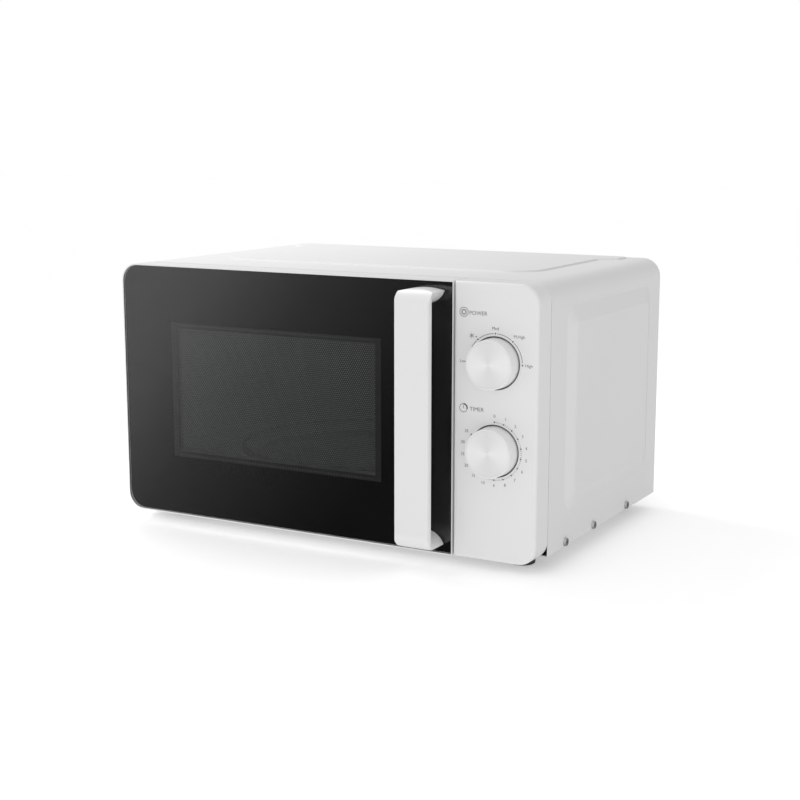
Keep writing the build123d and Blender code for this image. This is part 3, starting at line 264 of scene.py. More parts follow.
def moulded(name, colour, roughness, grain=900.0, patch=9.0, depth=0.00001, tone=0.03, spread=0.1,
            metallic=0.0):
    """A sprayed or moulded surface: an even colour with a fine pebbled skin and faint broad patches."""
    material, tree, shader = new_material(name)
    spot = add_node(tree, "ShaderNodeTexCoord").outputs["Object"]
    made = add_node(tree, "ShaderNodeGroup", node_tree=skin)
    for key, value in (("Grain", grain), ("Patch", patch), ("Tone spread", tone), ("Roughness", roughness),
                       ("Roughness spread", spread)):
        made.inputs[key].default_value = value
    tree.links.new(spot, made.inputs["Vector"])
    tree.links.new(tinted(tree, colour, made.outputs["Tone"]), shader.inputs["Base Color"])
    tree.links.new(made.outputs["Roughness"], shader.inputs["Roughness"])
    relief(tree, shader, made.outputs["Height"], depth)
    shader.inputs["Metallic"].default_value = metallic
    return material


def dress(material, *names):
    """Gives these CAD nodes one material."""
    for name in names:
        for holder in nodes[name].material_slots:
            holder.material = material


powder_white = moulded("powder_white", (0.80, 0.80, 0.805), 0.42, grain=700.0, depth=0.000012, tone=0.012)
dress(powder_white, "cabinet_wrapper")

# ---------------------------------------------------------------- deck, back and fixings
# Base plate, rear panel and brackets are bare zinc-coated steel, whose crystals show as faint spangles.
# The feet, the wall spacer and the cord bush are black mouldings.
spangle, given, result = begin_group(
    "spangle", "ShaderNodeTree",
    [("Vector", VECTOR, None), ("Crystal", NUMBER, 190.0), ("Contrast", NUMBER, 0.08),
     ("Roughness", NUMBER, 0.38)],
    [("Tone", NUMBER), ("Roughness", NUMBER), ("Height", NUMBER)])
crystals = add_node(spangle, "ShaderNodeTexVoronoi", {"Vector": given.outputs["Vector"],
                                                     "Scale": given.outputs["Crystal"], "Randomness": 1.0})
facet = add_node(spangle, "ShaderNodeSeparateColor", {"Color": crystals.outputs["Color"]}).outputs[0]
scratches = add_node(spangle, "ShaderNodeTexNoise", {"Vector": given.outputs["Vector"], "Scale": 600.0})
spangle.links.new(math_node(spangle, "SUBTRACT", 1.0,
                            math_node(spangle, "MULTIPLY", facet, given.outputs["Contrast"])),
                  result.inputs["Tone"])
spangle.links.new(math_node(spangle, "ADD", given.outputs["Roughness"],
                            math_node(spangle, "MULTIPLY", facet, 0.12)),
                  result.inputs["Roughness"])
spangle.links.new(scratches.outputs["Fac"], result.inputs["Height"])

zinc_steel, tree, shader = new_material("zinc_steel")
spot = add_node(tree, "ShaderNodeTexCoord").outputs["Object"]
made = add_node(tree, "ShaderNodeGroup", {"Vector": spot}, node_tree=spangle)
tree.links.new(tinted(tree, (0.60, 0.61, 0.63), made.outputs["Tone"]), shader.inputs["Base Color"])
tree.links.new(made.outputs["Roughness"], shader.inputs["Roughness"])
relief(tree, shader, made.outputs["Height"], 0.000006)
shader.inputs["Metallic"].default_value = 0.9
dress(zinc_steel, "base_plate", "rear_panel", "waveguide", "magnetron_yoke", "capacitor_clamp",
      "lower_hinge", "upper_hinge")

foot_black = moulded("foot_black", (0.030, 0.030, 0.032), 0.48, grain=1400.0, depth=0.00002, tone=0.25)
dress(foot_black, "feet", "rear_spacer")
bush_rubber = moulded("bush_rubber", (0.018, 0.018, 0.018), 0.72, grain=1800.0, depth=0.00003, tone=0.3)
dress(bush_rubber, "cord_gland")

# The cabinet's pan-head screws are bright nickel on steel.
screw_nickel = moulded("screw_nickel", (0.62, 0.61, 0.60), 0.26, grain=1600.0, depth=0.000008, tone=0.2,
                       metallic=1.0)
dress(screw_nickel, "cabinet_screws", "handle_screws")

# ---------------------------------------------------------------- cooking cavity
# Four pressed steel sheets, spot-welded and sprayed with a pale grey enamel that wipes clean.
enamel = moulded("enamel", (0.52, 0.53, 0.54), 0.34, grain=1100.0, patch=30.0, depth=0.000015, tone=0.05)
dress(enamel, "front_plate", "cavity_wrap", "cavity_floor", "cavity_back")

# The waveguide cover is a sheet of pressed mica: pale brown flakes, pearly where they lie flat.
mica, tree, shader = new_material("mica")
spot = add_node(tree, "ShaderNodeTexCoord").outputs["Object"]
flakes = add_node(tree, "ShaderNodeTexVoronoi", {"Vector": spot, "Scale": 260.0})
flake = add_node(tree, "ShaderNodeSeparateColor", {"Color": flakes.outputs["Color"]}).outputs[1]
flake_tone = add_node(tree, "ShaderNodeMapRange", {"Value": flake, "To Min": 0.72, "To Max": 1.0})
tree.links.new(tinted(tree, (0.62, 0.52, 0.38), flake_tone.outputs[0]), shader.inputs["Base Color"])
flake_gloss = add_node(tree, "ShaderNodeMapRange", {"Value": flake, "To Min": 0.25, "To Max": 0.6})
tree.links.new(flake_gloss.outputs[0], shader.inputs["Roughness"])
relief(tree, shader, flake, 0.00002)
dress(mica, "waveguide_cover")

# ---------------------------------------------------------------- microwave source
# Magnetron, transformer, capacitor and their small parts, in the bay behind the control panel.
tube_plate = moulded("tube_plate", (0.66, 0.58, 0.50), 0.30, grain=900.0, tone=0.2, metallic=1.0)
dress(tube_plate, "magnetron_tube")


def drawn_metal(name, colour, roughness, stretch, depth=0.000006):
    """Rolled or turned metal with fine streaks: stretch is the streaks' fineness along each axis."""
    material, tree, shader = new_material(name)
    spot = add_node(tree, "ShaderNodeTexCoord").outputs["Object"]
    pulled = add_node(tree, "ShaderNodeMapping", {"Vector": spot, "Scale": stretch})
    streaks = add_node(tree, "ShaderNodeTexNoise", {"Vector": pulled.outputs[0], "Scale": 1.0,
                                                    "Detail": 3.0})
    tone = add_node(tree, "ShaderNodeMapRange", {"Value": streaks.outputs["Fac"], "To Min": 0.75,
                                                 "To Max": 1.1})
    gloss = add_node(tree, "ShaderNodeMapRange", {"Value": streaks.outputs["Fac"],
                                                  "To Min": roughness - 0.08,
                                                 "To Max": roughness + 0.1})
    tree.links.new(tinted(tree, colour, tone.outputs[0]), shader.inputs["Base Color"])
    tree.links.new(gloss.outputs[0], shader.inputs["Roughness"])
    relief(tree, shader, streaks.outputs["Fac"], depth)
    shader.inputs["Metallic"].default_value = 1.0
    return material


dress(drawn_metal("fin_aluminium", (0.80, 0.81, 0.82), 0.32, (40, 40, 1500)), "magnetron_fins")
dress(drawn_metal("can_aluminium", (0.72, 0.73, 0.74), 0.36, (30, 1200, 1200)), "capacitor")
dress(drawn_metal("spindle_steel", (0.60, 0.60, 0.61), 0.30, (60, 2200, 60)), "power_spindle",
      "timer_spindle")

# Transformer core and fan motor are stacks of thin varnished steel plates, so their faces show fine lines.
laminated, tree, shader = new_material("laminated")
spot = add_node(tree, "ShaderNodeTexCoord").outputs["Object"]
plates = add_node(tree, "ShaderNodeTexWave", {"Vector": spot, "Scale": 320.0, "Distortion": 0.4,
                                              "Detail": 1.0},
                  wave_type="BANDS", bands_direction="Y")
plate_tone = add_node(tree, "ShaderNodeMapRange", {"Value": plates.outputs["Fac"], "To Min": 0.55,
                                                   "To Max": 1.0})
tree.links.new(tinted(tree, (0.16, 0.165, 0.18), plate_tone.outputs[0]), shader.inputs["Base Color"])
varnish = add_node(tree, "ShaderNodeMapRange", {"Value": plates.outputs["Fac"], "To Min": 0.55,
                                                "To Max": 0.35})
tree.links.new(varnish.outputs[0], shader.inputs["Roughness"])
relief(tree, shader, plates.outputs["Fac"], 0.00003)
shader.inputs["Metallic"].default_value = 0.6
dress(laminated, "transformer_core", "fan_motor")

# Each transformer winding is enamelled copper wire laid in even turns round the core's middle limb.


def close_tree(tree, shape, given, result, place=None):
    """Ends a geometry tree: makes its instances real, moves them to a named place and sets the material."""
    shape = add_node(tree, "GeometryNodeRealizeInstances", {0: shape}).outputs[0]
    if place is not None:
        shape = add_node(tree, "GeometryNodeTransform",
                         {0: shape, "Translation": given.outputs[place]}).outputs[0]
    coated = add_node(tree, "GeometryNodeSetMaterial", {0: shape, "Material": given.outputs["Material"]})
    tree.links.new(coated.outputs[0], result.inputs[0])


copper_wire = moulded("copper_wire", (0.50, 0.20, 0.09), 0.30, grain=500.0, tone=0.25, metallic=1.0)
coil_tree, given, result = begin_group(
    "coil", "GeometryNodeTree",
    [("Centre", VECTOR, None), ("Width", NUMBER, 0.03), ("Length", NUMBER, 0.07), ("Height", NUMBER, 0.04),
     ("Wire", NUMBER, 0.002), ("Material", "NodeSocketMaterial", None)],
    [("Geometry", "NodeSocketGeometry")])
turn = add_node(coil_tree, "GeometryNodeCurvePrimitiveQuadrilateral", {
    "Width": math_node(coil_tree, "SUBTRACT", given.outputs["Width"], given.outputs["Wire"]),
    "Height": math_node(coil_tree, "SUBTRACT", given.outputs["Length"], given.outputs["Wire"])})
rounded = add_node(coil_tree, "GeometryNodeFilletCurve", {
    0: turn.outputs[0], "Radius": math_node(coil_tree, "MULTIPLY", given.outputs["Width"], 0.22),
    "Count": 4}, mode="POLY")
section = add_node(coil_tree, "GeometryNodeCurvePrimitiveCircle", {
    "Resolution": 8, "Radius": math_node(coil_tree, "MULTIPLY", given.outputs["Wire"], 0.49)})
wire = add_node(coil_tree, "GeometryNodeCurveToMesh", {0: rounded.outputs[0], 1: section.outputs[0]})
turns = math_node(coil_tree, "FLOOR", math_node(coil_tree, "DIVIDE", given.outputs["Height"],
                                                given.outputs["Wire"]))
stack = add_node(coil_tree, "GeometryNodeMeshLine", {
    "Count": turns, "Offset": add_node(coil_tree, "ShaderNodeCombineXYZ",
                                       {"Z": given.outputs["Wire"]}).outputs[0]})
laid = add_node(coil_tree, "GeometryNodeInstanceOnPoints", {"Points": stack.outputs[0],
                                                           "Instance": wire.outputs[0]})
close_tree(coil_tree, laid.outputs[0], given, result, "Centre")


def grow(name, tree, values):
    """Runs a geometry tree with these named sizes, and keeps what it makes as a plain mesh."""
    made = new_object(name, bpy.data.meshes.new(name))
    modifier = made.modifiers.new("tree", "NODES")
    modifier.node_group = tree
    for item in tree.interface.items_tree:
        if item.in_out == "INPUT" and item.name in values:
            modifier[item.identifier] = values[item.name]
    evaluated = made.evaluated_get(bpy.context.evaluated_depsgraph_get())
    plain = bpy.data.meshes.new_from_object(evaluated)
    made.modifiers.clear()
    made.data = plain
    return made


def join_meshes(name, objects):
    """Joins these objects' meshes into one new object and removes them."""
    joined = bmesh.new()
    materials = []
    for part in objects:
        for material in part.data.materials:
            if material not in materials:
                materials.append(material)
        start = len(joined.faces)
        joined.from_mesh(part.data)
        joined.faces.ensure_lookup_table()
        for face in joined.faces[start:]:
            face.material_index = materials.index(part.data.materials[face.material_index])
        bpy.data.objects.remove(part)
    mesh = bpy.data.meshes.new(name)
    joined.to_mesh(mesh)
    joined.free()
    return new_object(name, mesh, *materials)


WIRE = 1.7 * MM
LAYERS = 3
HALF_GAP = 1.0 * MM                           # half the space between the two windings
winding_low, winding_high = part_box("transformer_windings")
windings = []
middle = (winding_low.x + winding_high.x) / 2
for low_x, high_x in ((winding_low.x, middle - HALF_GAP), (middle + HALF_GAP, winding_high.x)):
    for layer in range(LAYERS):
        inset = 2 * layer * WIRE
        windings.append(grow("winding", coil_tree, {
            "Centre": ((low_x + high_x) / 2, (winding_low.y + winding_high.y) / 2, winding_low.z + WIRE / 2),
            "Width": high_x - low_x - inset, "Length": winding_high.y - winding_low.y - inset,
            "Height": winding_high.z - winding_low.z, "Wire": WIRE, "Material": copper_wire}))
coil = join_meshes("copper_windings", windings)
for face in coil.data.polygons:
    face.use_smooth = True
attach(coil, "cabinet")
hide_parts("transformer_windings")

# Small electrical parts: black and red mouldings, and the filter's brown circuit board.
black_moulding = moulded("black_moulding", (0.022, 0.022, 0.024), 0.42, grain=1500.0, depth=0.000018,
                         tone=0.2)
dress(black_moulding, "hv_diode", "thermal_cutouts", "oven_lamp", "door_switch_1", "door_switch_2",
      "door_switch_3")
dress(moulded("red_moulding", (0.50, 0.03, 0.02), 0.40, tone=0.1), "switch_plunger_1", "switch_plunger_2",
      "switch_plunger_3")
dress(moulded("board_brown", (0.26, 0.16, 0.07), 0.45, grain=400.0, patch=90.0, tone=0.25), "filter_board")
dress(moulded("fan_grey", (0.10, 0.105, 0.11), 0.45, grain=1300.0, depth=0.000015, tone=0.12),
      "fan_shroud", "fan_blade")
dress(moulded("timer_grey", (0.42, 0.42, 0.41), 0.45, grain=1300.0, tone=0.08), "timer_unit")
dress(drawn_metal("motor_plate", (0.60, 0.60, 0.58), 0.34, (300, 300, 900)), "turntable_motor")

# ---------------------------------------------------------------- turntable
# Natural plastic coupler, ring and rollers, under a clear pressed-glass tray.
natural = moulded("natural_moulding", (0.66, 0.65, 0.61), 0.45, grain=1200.0, patch=40.0, tone=0.06)
dress(natural, "drive_coupler", "roller_ring", "roller_wheel_1", "roller_wheel_2", "roller_wheel_3",
      "latch_bracket", "latch_hook")


def glass_finish(name, colour, ripple, fineness):
    """Clear glass with the faint ripple that pressing or rolling leaves in it."""
    material, tree, shader = new_material(name)
    spot = add_node(tree, "ShaderNodeTexCoord").outputs["Object"]
    waves = add_node(tree, "ShaderNodeTexNoise", {"Vector": spot, "Scale": fineness, "Detail": 1.0})
    tone = add_node(tree, "ShaderNodeMapRange", {"Value": waves.outputs["Fac"], "To Min": 0.98,
                                                 "To Max": 1.0})
    smear = add_node(tree, "ShaderNodeMapRange", {"Value": waves.outputs["Fac"], "From Min": 0.45,
                                                 "To Min": 0.0, "To Max": 0.004})
    tree.links.new(tinted(tree, colour, tone.outputs[0]), shader.inputs["Base Color"])
    tree.links.new(smear.outputs[0], shader.inputs["Roughness"])
    relief(tree, shader, waves.outputs["Fac"], ripple)
    shader.inputs["Transmission Weight"].default_value = 1.0
    shader.inputs["IOR"].default_value = 1.5
    return material


dress(glass_finish("tray_glass", (0.93, 0.98, 0.96), 0.00008, 60.0), "glass_tray")

# ---------------------------------------------------------------- control panel
# A white satin moulding with two round wells. Scales and names are printed on it in grey ink.
white_satin = moulded("white_satin", (0.83, 0.83, 0.835), 0.30, grain=1300.0, depth=0.000005, tone=0.01)
dress(white_satin, "door_frame", "handle", "power_knob", "timer_knob")

# Painted shade: the colour itself is darkened inside the wells, as deep as the shade between a knob and its
# well.
KNOB_X = 180.3
POWER = (KNOB_X, 187.6)
TIMER = (KNOB_X, 111.3)
WELL_R = 23.15
panel_white = white_satin.copy()
panel_white.name = "panel_white"
tree = panel_white.node_tree
shader = tree.nodes["Principled BSDF"]
spot = add_node(tree, "ShaderNodeTexCoord").outputs["Object"]
# How dark the painted shade in the wells is, as a share of the plain colour.
WELL_PAINTED_SHADE = 0.10
well_shade_mask = 1.0
for centre in (POWER, TIMER):
    centred = add_node(tree, "ShaderNodeMapping", {"Vector": spot, "Scale": (1, 0, 1),
                                                  "Location": (-centre[0] * MM, 0, -centre[1] * MM)})
    radius = add_node(tree, "ShaderNodeVectorMath", {0: centred.outputs[0]}, operation="LENGTH")
    outside = add_node(tree, "ShaderNodeMapRange", {"Value": radius.outputs["Value"], "To Min": WELL_PAINTED_SHADE,
                                                   "From Min": (WELL_R - 0.1) * MM,
                                                   "From Max": (WELL_R + 0.1) * MM})
    well_shade_mask = math_node(tree, "MULTIPLY", outside.outputs[0], well_shade_mask)
plain = shader.inputs["Base Color"].links[0].from_socket
darkened = add_node(tree, "ShaderNodeMix", {0: 1.0, 6: plain}, data_type="RGBA", blend_type="MULTIPLY")
tree.links.new(well_shade_mask, darkened.inputs[7])
tree.links.new(darkened.outputs[2], shader.inputs["Base Color"])
dress(panel_white, "control_panel")

FACE_Y = 140.0                                # how far ahead of the origin the panel and the glass stand
INK = 0.05                                    # the print's thickness
STAND = 0.002                                 # the print clears the face by this much
ink_grey = moulded("ink_grey", (0.145, 0.148, 0.155), 0.45, grain=2500.0, depth=0.000003, tone=0.25)

# A ring of marks: round dots or short dashes set at even angles, counted clockwise from the top.
marks, given, result = begin_group(
    "marks", "GeometryNodeTree",
    [("First", NUMBER, 0.0), ("Step", NUMBER, 0.3), ("Count", "NodeSocketInt", 16), ("Ring", NUMBER, 0.025),
     ("Width", NUMBER, 0.0014), ("Length", NUMBER, 0.0014), ("Round", "NodeSocketBool", True),
     ("Depth", NUMBER, 0.00005), ("Centre", VECTOR, None), ("Material", "NodeSocketMaterial", None)],
    [("Geometry", "NodeSocketGeometry")])
row = add_node(marks, "GeometryNodeMeshLine", {"Count": given.outputs["Count"], "Offset": (0, 0, 0)})
index = add_node(marks, "GeometryNodeInputIndex").outputs[0]
angle = math_node(marks, "ADD", given.outputs["First"],
                  math_node(marks, "MULTIPLY", index, given.outputs["Step"]))
spot = add_node(marks, "ShaderNodeCombineXYZ", {
    "X": math_node(marks, "MULTIPLY", math_node(marks, "SINE", angle), given.outputs["Ring"]),
    "Z": math_node(marks, "MULTIPLY", math_node(marks, "COSINE", angle), given.outputs["Ring"])})
ringed = add_node(marks, "GeometryNodeSetPosition", {0: row.outputs[0], "Position": spot.outputs[0]})
dot = add_node(marks, "GeometryNodeMeshCylinder", {
    "Vertices": 16, "Radius": math_node(marks, "MULTIPLY", given.outputs["Width"], 0.5),
    "Depth": given.outputs["Depth"]})
dot_up = add_node(marks, "GeometryNodeTransform", {0: dot.outputs[0], "Rotation": (math.pi / 2, 0, 0)})
dash = add_node(marks, "GeometryNodeMeshCube", {"Size": add_node(marks, "ShaderNodeCombineXYZ", {
    "X": given.outputs["Width"], "Y": given.outputs["Depth"], "Z": given.outputs["Length"]}).outputs[0]})
chosen = add_node(marks, "GeometryNodeSwitch", {"Switch": given.outputs["Round"], "False": dash.outputs[0],
                                                "True": dot_up.outputs[0]}, input_type="GEOMETRY")
turned = add_node(marks, "ShaderNodeCombineXYZ", {"Y": angle})
set_out = add_node(marks, "GeometryNodeInstanceOnPoints", {"Points": ringed.outputs[0],
                                                          "Instance": chosen.outputs[0],
                                                          "Rotation": turned.outputs[0]})
close_tree(marks, set_out.outputs[0], given, result, "Centre")

PRINT_Y = -(FACE_Y + STAND + INK / 2) * MM    # the middle of the print's thickness


def ring_of_marks(centre, first, step, count, radius, width, length, is_round):
    """One ring of dots or dashes on the panel: angles in degrees, sizes in millimetres."""
    return grow("marks", marks, {
        "First": math.radians(first), "Step": math.radians(step), "Count": count, "Ring": radius * MM,
        "Width": width * MM, "Length": length * MM, "Round": is_round, "Depth": INK * MM,
        "Centre": (centre[0] * MM, PRINT_Y, centre[1] * MM), "Material": ink_grey})


def drawn_paths(name, paths):
    """A flat curve of closed outlines in millimetres; an outline inside another is a hole."""
    curve = bpy.data.curves.new(name, "CURVE")
    curve.dimensions = "2D"
    for path in paths:
        spline = curve.splines.new("POLY")
        spline.points.add(len(path) - 1)
        spline.use_cyclic_u = True
        for point, (x, z) in zip(spline.points, path):
            point.co = (x * MM, z * MM, 0, 1)
    return curve


def filled(name, curve, thickness, place, material):
    """Fills a flat curve or a text drawn in X and Y, thickens it and stands it upright about a place."""
    curve.fill_mode = "BOTH"
    curve.extrude = thickness / 2 * MM
    flat = bpy.data.objects.new(name, curve)
    scene.collection.objects.link(flat)
    mesh = bpy.data.meshes.new_from_object(flat.evaluated_get(bpy.context.evaluated_depsgraph_get()))
    bpy.data.objects.remove(flat)
    mesh.materials.clear()
    mesh.transform(Matrix.Translation(place) @ Matrix.Rotation(math.pi / 2, 4, "X"))
    merged = bmesh.new()
    merged.from_mesh(mesh)
    bmesh.ops.remove_doubles(merged, verts=merged.verts, dist=1e-7)
    bmesh.ops.recalc_face_normals(merged, faces=merged.faces)
    merged.to_mesh(mesh)
    merged.free()
    return new_object(name, mesh, material)


def printed(curve, centre):
    """A curve or a text as a thin print on the panel, about a point in millimetres."""
    return filled("print", curve, INK, (centre[0] * MM, PRINT_Y, centre[1] * MM), ink_grey)


CAPITAL_SHARE = 0.70                          # a capital's height as a share of the letters' size


def wording(text, centre, height, spread=1.0):
    """Printed letters, centred on a point; height is that of a capital, in millimetres."""
    words = bpy.data.curves.new("wording", "FONT")
    words.body = text
    words.size = height * MM / CAPITAL_SHARE
    words.align_x = "CENTER"
    words.align_y = "CENTER"
    words.space_character = spread
    words.resolution_u = 3
    words.dimensions = "2D"
    return printed(words, centre)


def outline(paths, centre):
    """A printed shape from closed outlines in millimetres about a point."""
    return printed(drawn_paths("outline", paths), centre)


def polar(centre, radius, degrees):
    """A point at a clockwise angle from the top."""
    turn = math.radians(degrees)
    return (centre[0] + radius * math.sin(turn), centre[1] + radius * math.cos(turn))


def arc_points(radius, start, end, count):
    """Points on an arc: angles clockwise from the top, in degrees."""
    return [polar((0.0, 0.0), radius, start + (end - start) * step / count) for step in range(count + 1)]


def ring_print(outer, inner, centre):
    """A printed ring."""
    return outline([arc_points(outer, 0, 352.5, 47), arc_points(inner, 0, 352.5, 47)], centre)


def arc_print(radius, width, start, end, centre):
    """A printed arc line, with a point about every four degrees."""
    count = max(2, round(abs(end - start) / 4))
    outer = arc_points(radius + width / 2, start, end, count)
    inner = arc_points(radius - width / 2, start, end, count)
    return outline([outer + inner[::-1]], centre)


DOTS_R = 25.4                                 # the circle that the marks stand on
NAMES_R = 30.6                                # and the one that the numbers stand on
DOT = 1.5
DASH = (0.35, 1.0)                            # width and length
LINE = 0.45
SMALL = 2.6                                   # height of a capital in the scales
TITLE = 3.4                                   # and in the dials' names

# Timer: a dot at each of sixteen marks, dashes between, and a number outside.
TIMER_MARKS = ("0", "1", "2", "3", "4", "5", "6", "7", "8", "9", "10", "15", "20", "25", "30", "35")
TIMER_STEP = 20.0
prints = [ring_of_marks(TIMER, 0, TIMER_STEP, len(TIMER_MARKS), DOTS_R, DOT, DOT, True)]
for share in (1, 2, 3, 4):
    prints.append(ring_of_marks(TIMER, TIMER_STEP * share / 5, TIMER_STEP, len(TIMER_MARKS) - 1, DOTS_R,
                                *DASH, False))
for place, label in enumerate(TIMER_MARKS):
    prints.append(wording(label, polar(TIMER, NAMES_R, place * TIMER_STEP), SMALL))

# Power: four names and a thaw sign, joined by an arc line that breaks at each dot.
POWER_STOPS = (-90, -40, 0, 40, 90)
DOT_GAP = 4
for start, end in zip(POWER_STOPS, POWER_STOPS[1:]):
    prints.append(arc_print(DOTS_R, LINE, start + DOT_GAP, end - DOT_GAP, POWER))
for stop in POWER_STOPS:
    prints.append(ring_of_marks(POWER, stop, 0, 1, DOTS_R, DOT, DOT, True))
for label, right, up in (("Low", -30.2, -0.2), ("Med", 0.0, 29.6), ("M.High", 22.2, 23.8),
                         ("High", 31.4, -0.2)):
    prints.append(wording(label, (POWER[0] + right, POWER[1] + up), SMALL))
THAW = polar(POWER, 31.5, -45)
THAW_REACH = 2.5                              # from the sign's middle to the tip of a stroke
THAW_HALF = 0.22                              # half a stroke's width
for turn in (0, 60, 120):
    reach = polar((0, 0), THAW_REACH, turn)
    side = polar((0, 0), THAW_HALF, turn + 90)
    prints.append(outline([[(reach[0] + side[0], reach[1] + side[1]),
                            (reach[0] - side[0], reach[1] - side[1]),
                            (-reach[0] - side[0], -reach[1] - side[1]),
                            (-reach[0] + side[0], -reach[1] + side[1])]], THAW))
THAW_DOT = 1.3
prints.append(ring_of_marks((THAW[0] + 4.2, THAW[1] - 0.6), 0, 0, 1, 0, THAW_DOT, THAW_DOT, True))

# The signs and names above the two dials: two rings, and a clock with a stroke and a thick quarter.
POWER_SIGN = (150.5, 229.8)
TIMER_SIGN = (150.6, 146.6)
CLOCK_R = 3.6
prints.append(ring_print(4.2, 3.7, POWER_SIGN))
prints.append(ring_print(2.4, 1.5, POWER_SIGN))
prints.append(wording("POWER", (164.0, 229.2), TITLE, spread=1.02))
prints.append(arc_print(CLOCK_R, LINE, 0, 360, TIMER_SIGN))
prints.append(arc_print(CLOCK_R, 1.3, 0, 100, TIMER_SIGN))
prints.append(outline([[(-0.2, -0.3), (0.2, -0.3), (0.2, 2.6), (-0.2, 2.6)]], TIMER_SIGN))
prints.append(wording("TIMER", (163.4, 146.2), TITLE, spread=1.02))
panel_print = join_meshes("panel_print", prints)
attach(panel_print, "cabinet")

# ---------------------------------------------------------------- knob faces
# Each knob's cap is a bright disc, spun against a tool that leaves fine rings, pressed into the moulding.
# The soft rays that such rings throw, two bright and two dim, are a painted highlight in the colour itself.


def spun_disc(name, centre):
    """Spun metal with rings round a centre, given in millimetres on the front face, and painted highlight
    rays.
    """
    material, tree, shader = new_material(name)
    spot = add_node(tree, "ShaderNodeTexCoord").outputs["Object"]
    centred = add_node(tree, "ShaderNodeMapping", {"Vector": spot, "Scale": (1, 0, 1),
                                                  "Location": (-centre[0] * MM, 0,
                                                               -centre[1] * MM)}).outputs[0]
    radius = add_node(tree, "ShaderNodeVectorMath", {0: centred}, operation="LENGTH").outputs["Value"]
    rings = add_node(tree, "ShaderNodeTexNoise", {"W": radius, "Scale": 2600.0, "Detail": 2.0},
                     noise_dimensions="1D").outputs["Fac"]
    apart = add_node(tree, "ShaderNodeSeparateXYZ", {"Vector": centred})
    around = math_node(tree, "ARCTAN2", apart.outputs["X"], apart.outputs["Z"])
    # Painted highlight: the colour brightens and dims twice round the centre, as two pairs of rays.
    fan = math_node(tree, "COSINE", math_node(tree, "ADD", math_node(tree, "MULTIPLY", around, 2.0), 3.3))
    painted_ray_tone = add_node(tree, "ShaderNodeMapRange",
                        {"Value": fan, "From Min": -1.0, "To Min": 0.88, "To Max": 1.0})
    ring_tone = add_node(tree, "ShaderNodeMapRange", {"Value": rings, "To Min": 0.95, "To Max": 1.0})
    tone = math_node(tree, "MULTIPLY", painted_ray_tone.outputs[0], ring_tone.outputs[0])
    tree.links.new(tinted(tree, (0.97, 0.97, 0.975), tone), shader.inputs["Base Color"])
    gloss = add_node(tree, "ShaderNodeMapRange", {"Value": rings, "To Min": 0.34, "To Max": 0.46})
    tree.links.new(gloss.outputs[0], shader.inputs["Roughness"])
    relief(tree, shader, rings, 0.000004)
    shader.inputs["Metallic"].default_value = 0.2
    return material


dress(spun_disc("power_spun", POWER), "power_knob_cap")
dress(spun_disc("timer_spun", TIMER), "timer_knob_cap")

# ---------------------------------------------------------------- door glass
# A flat pane with a black print fired on its back, clear over the window. A dark grey border runs inside
# the window's edge, with a row of small ticks along its top and its bottom.
dress(glass_finish("door_pane", (0.95, 0.96, 0.955), 0.0000015, 14.0), "door_glass")

WINDOW = (-163.5, 67.5, 70.7, 201.1)          # left, right, bottom and top of the clear window
FIELD = (-156.3, 61.5, 76.2, 196.0)           # the part of the screen behind it that is pierced
BACK_PRINT = (-136.59, -136.47)               # where the fired print lies, from front to back


def corner_path(box, radii, steps=8):
    """A closed outline round a box (left, right, bottom, top) with a radius at each corner from lower left
    anticlockwise; a corner of no radius is one point."""
    left, right, bottom, top = box
    path = []
    for (x, z, first), radius in zip(((left, bottom, 180), (right, bottom, 270), (right, top, 0),
                                      (left, top, 90)), radii):
        inward = (1 if x == left else -1, 1 if z == bottom else -1)
        centre = (x + inward[0] * radius, z + inward[1] * radius)
        for step in range(steps + 1 if radius else 1):
            angle = math.radians(first + 90.0 * step / steps)
            path.append((centre[0] + radius * math.cos(angle), centre[1] + radius * math.sin(angle))
                        if radius else (x, z))
    return path


def sheet_between(name, outer, inner, depth, material):
    """A closed flat solid with one hole: outlines in millimetres, depth its front and back along Y."""
    middle = (depth[0] + depth[1]) / 2 * MM
    return filled(name, drawn_paths(name, (outer, inner)), depth[1] - depth[0], (0, middle, 0), material)


def box_path(box):
    """The four corners of a box."""
    return corner_path(box, (0, 0, 0, 0))


glass_print = moulded("glass_print", (0.002, 0.002, 0.0022), 0.35, grain=1500.0, depth=0.000002, tone=0.3)
border_grey = moulded("border_grey", (0.045, 0.045, 0.046), 0.5, grain=2600.0, depth=0.000002, tone=0.2)
tick_pale = moulded("tick_pale", (0.11, 0.115, 0.113), 0.5, grain=2600.0, depth=0.000002, tone=0.2)
for material in (glass_print, border_grey, tick_pale):
    material.node_tree.nodes["Principled BSDF"].inputs["Specular IOR Level"].default_value = 0.0
PRINT_EDGE = (-218.4, 139.0, 14.6, 254.4)
PRINT_CORNER = 16.4
black_print = sheet_between("black_print", corner_path(PRINT_EDGE, (PRINT_CORNER, 0, 0, PRINT_CORNER)),
                            box_path(WINDOW),
                            BACK_PRINT, glass_print)
border_print = sheet_between("border_print", box_path(WINDOW), box_path(FIELD), BACK_PRINT, border_grey)

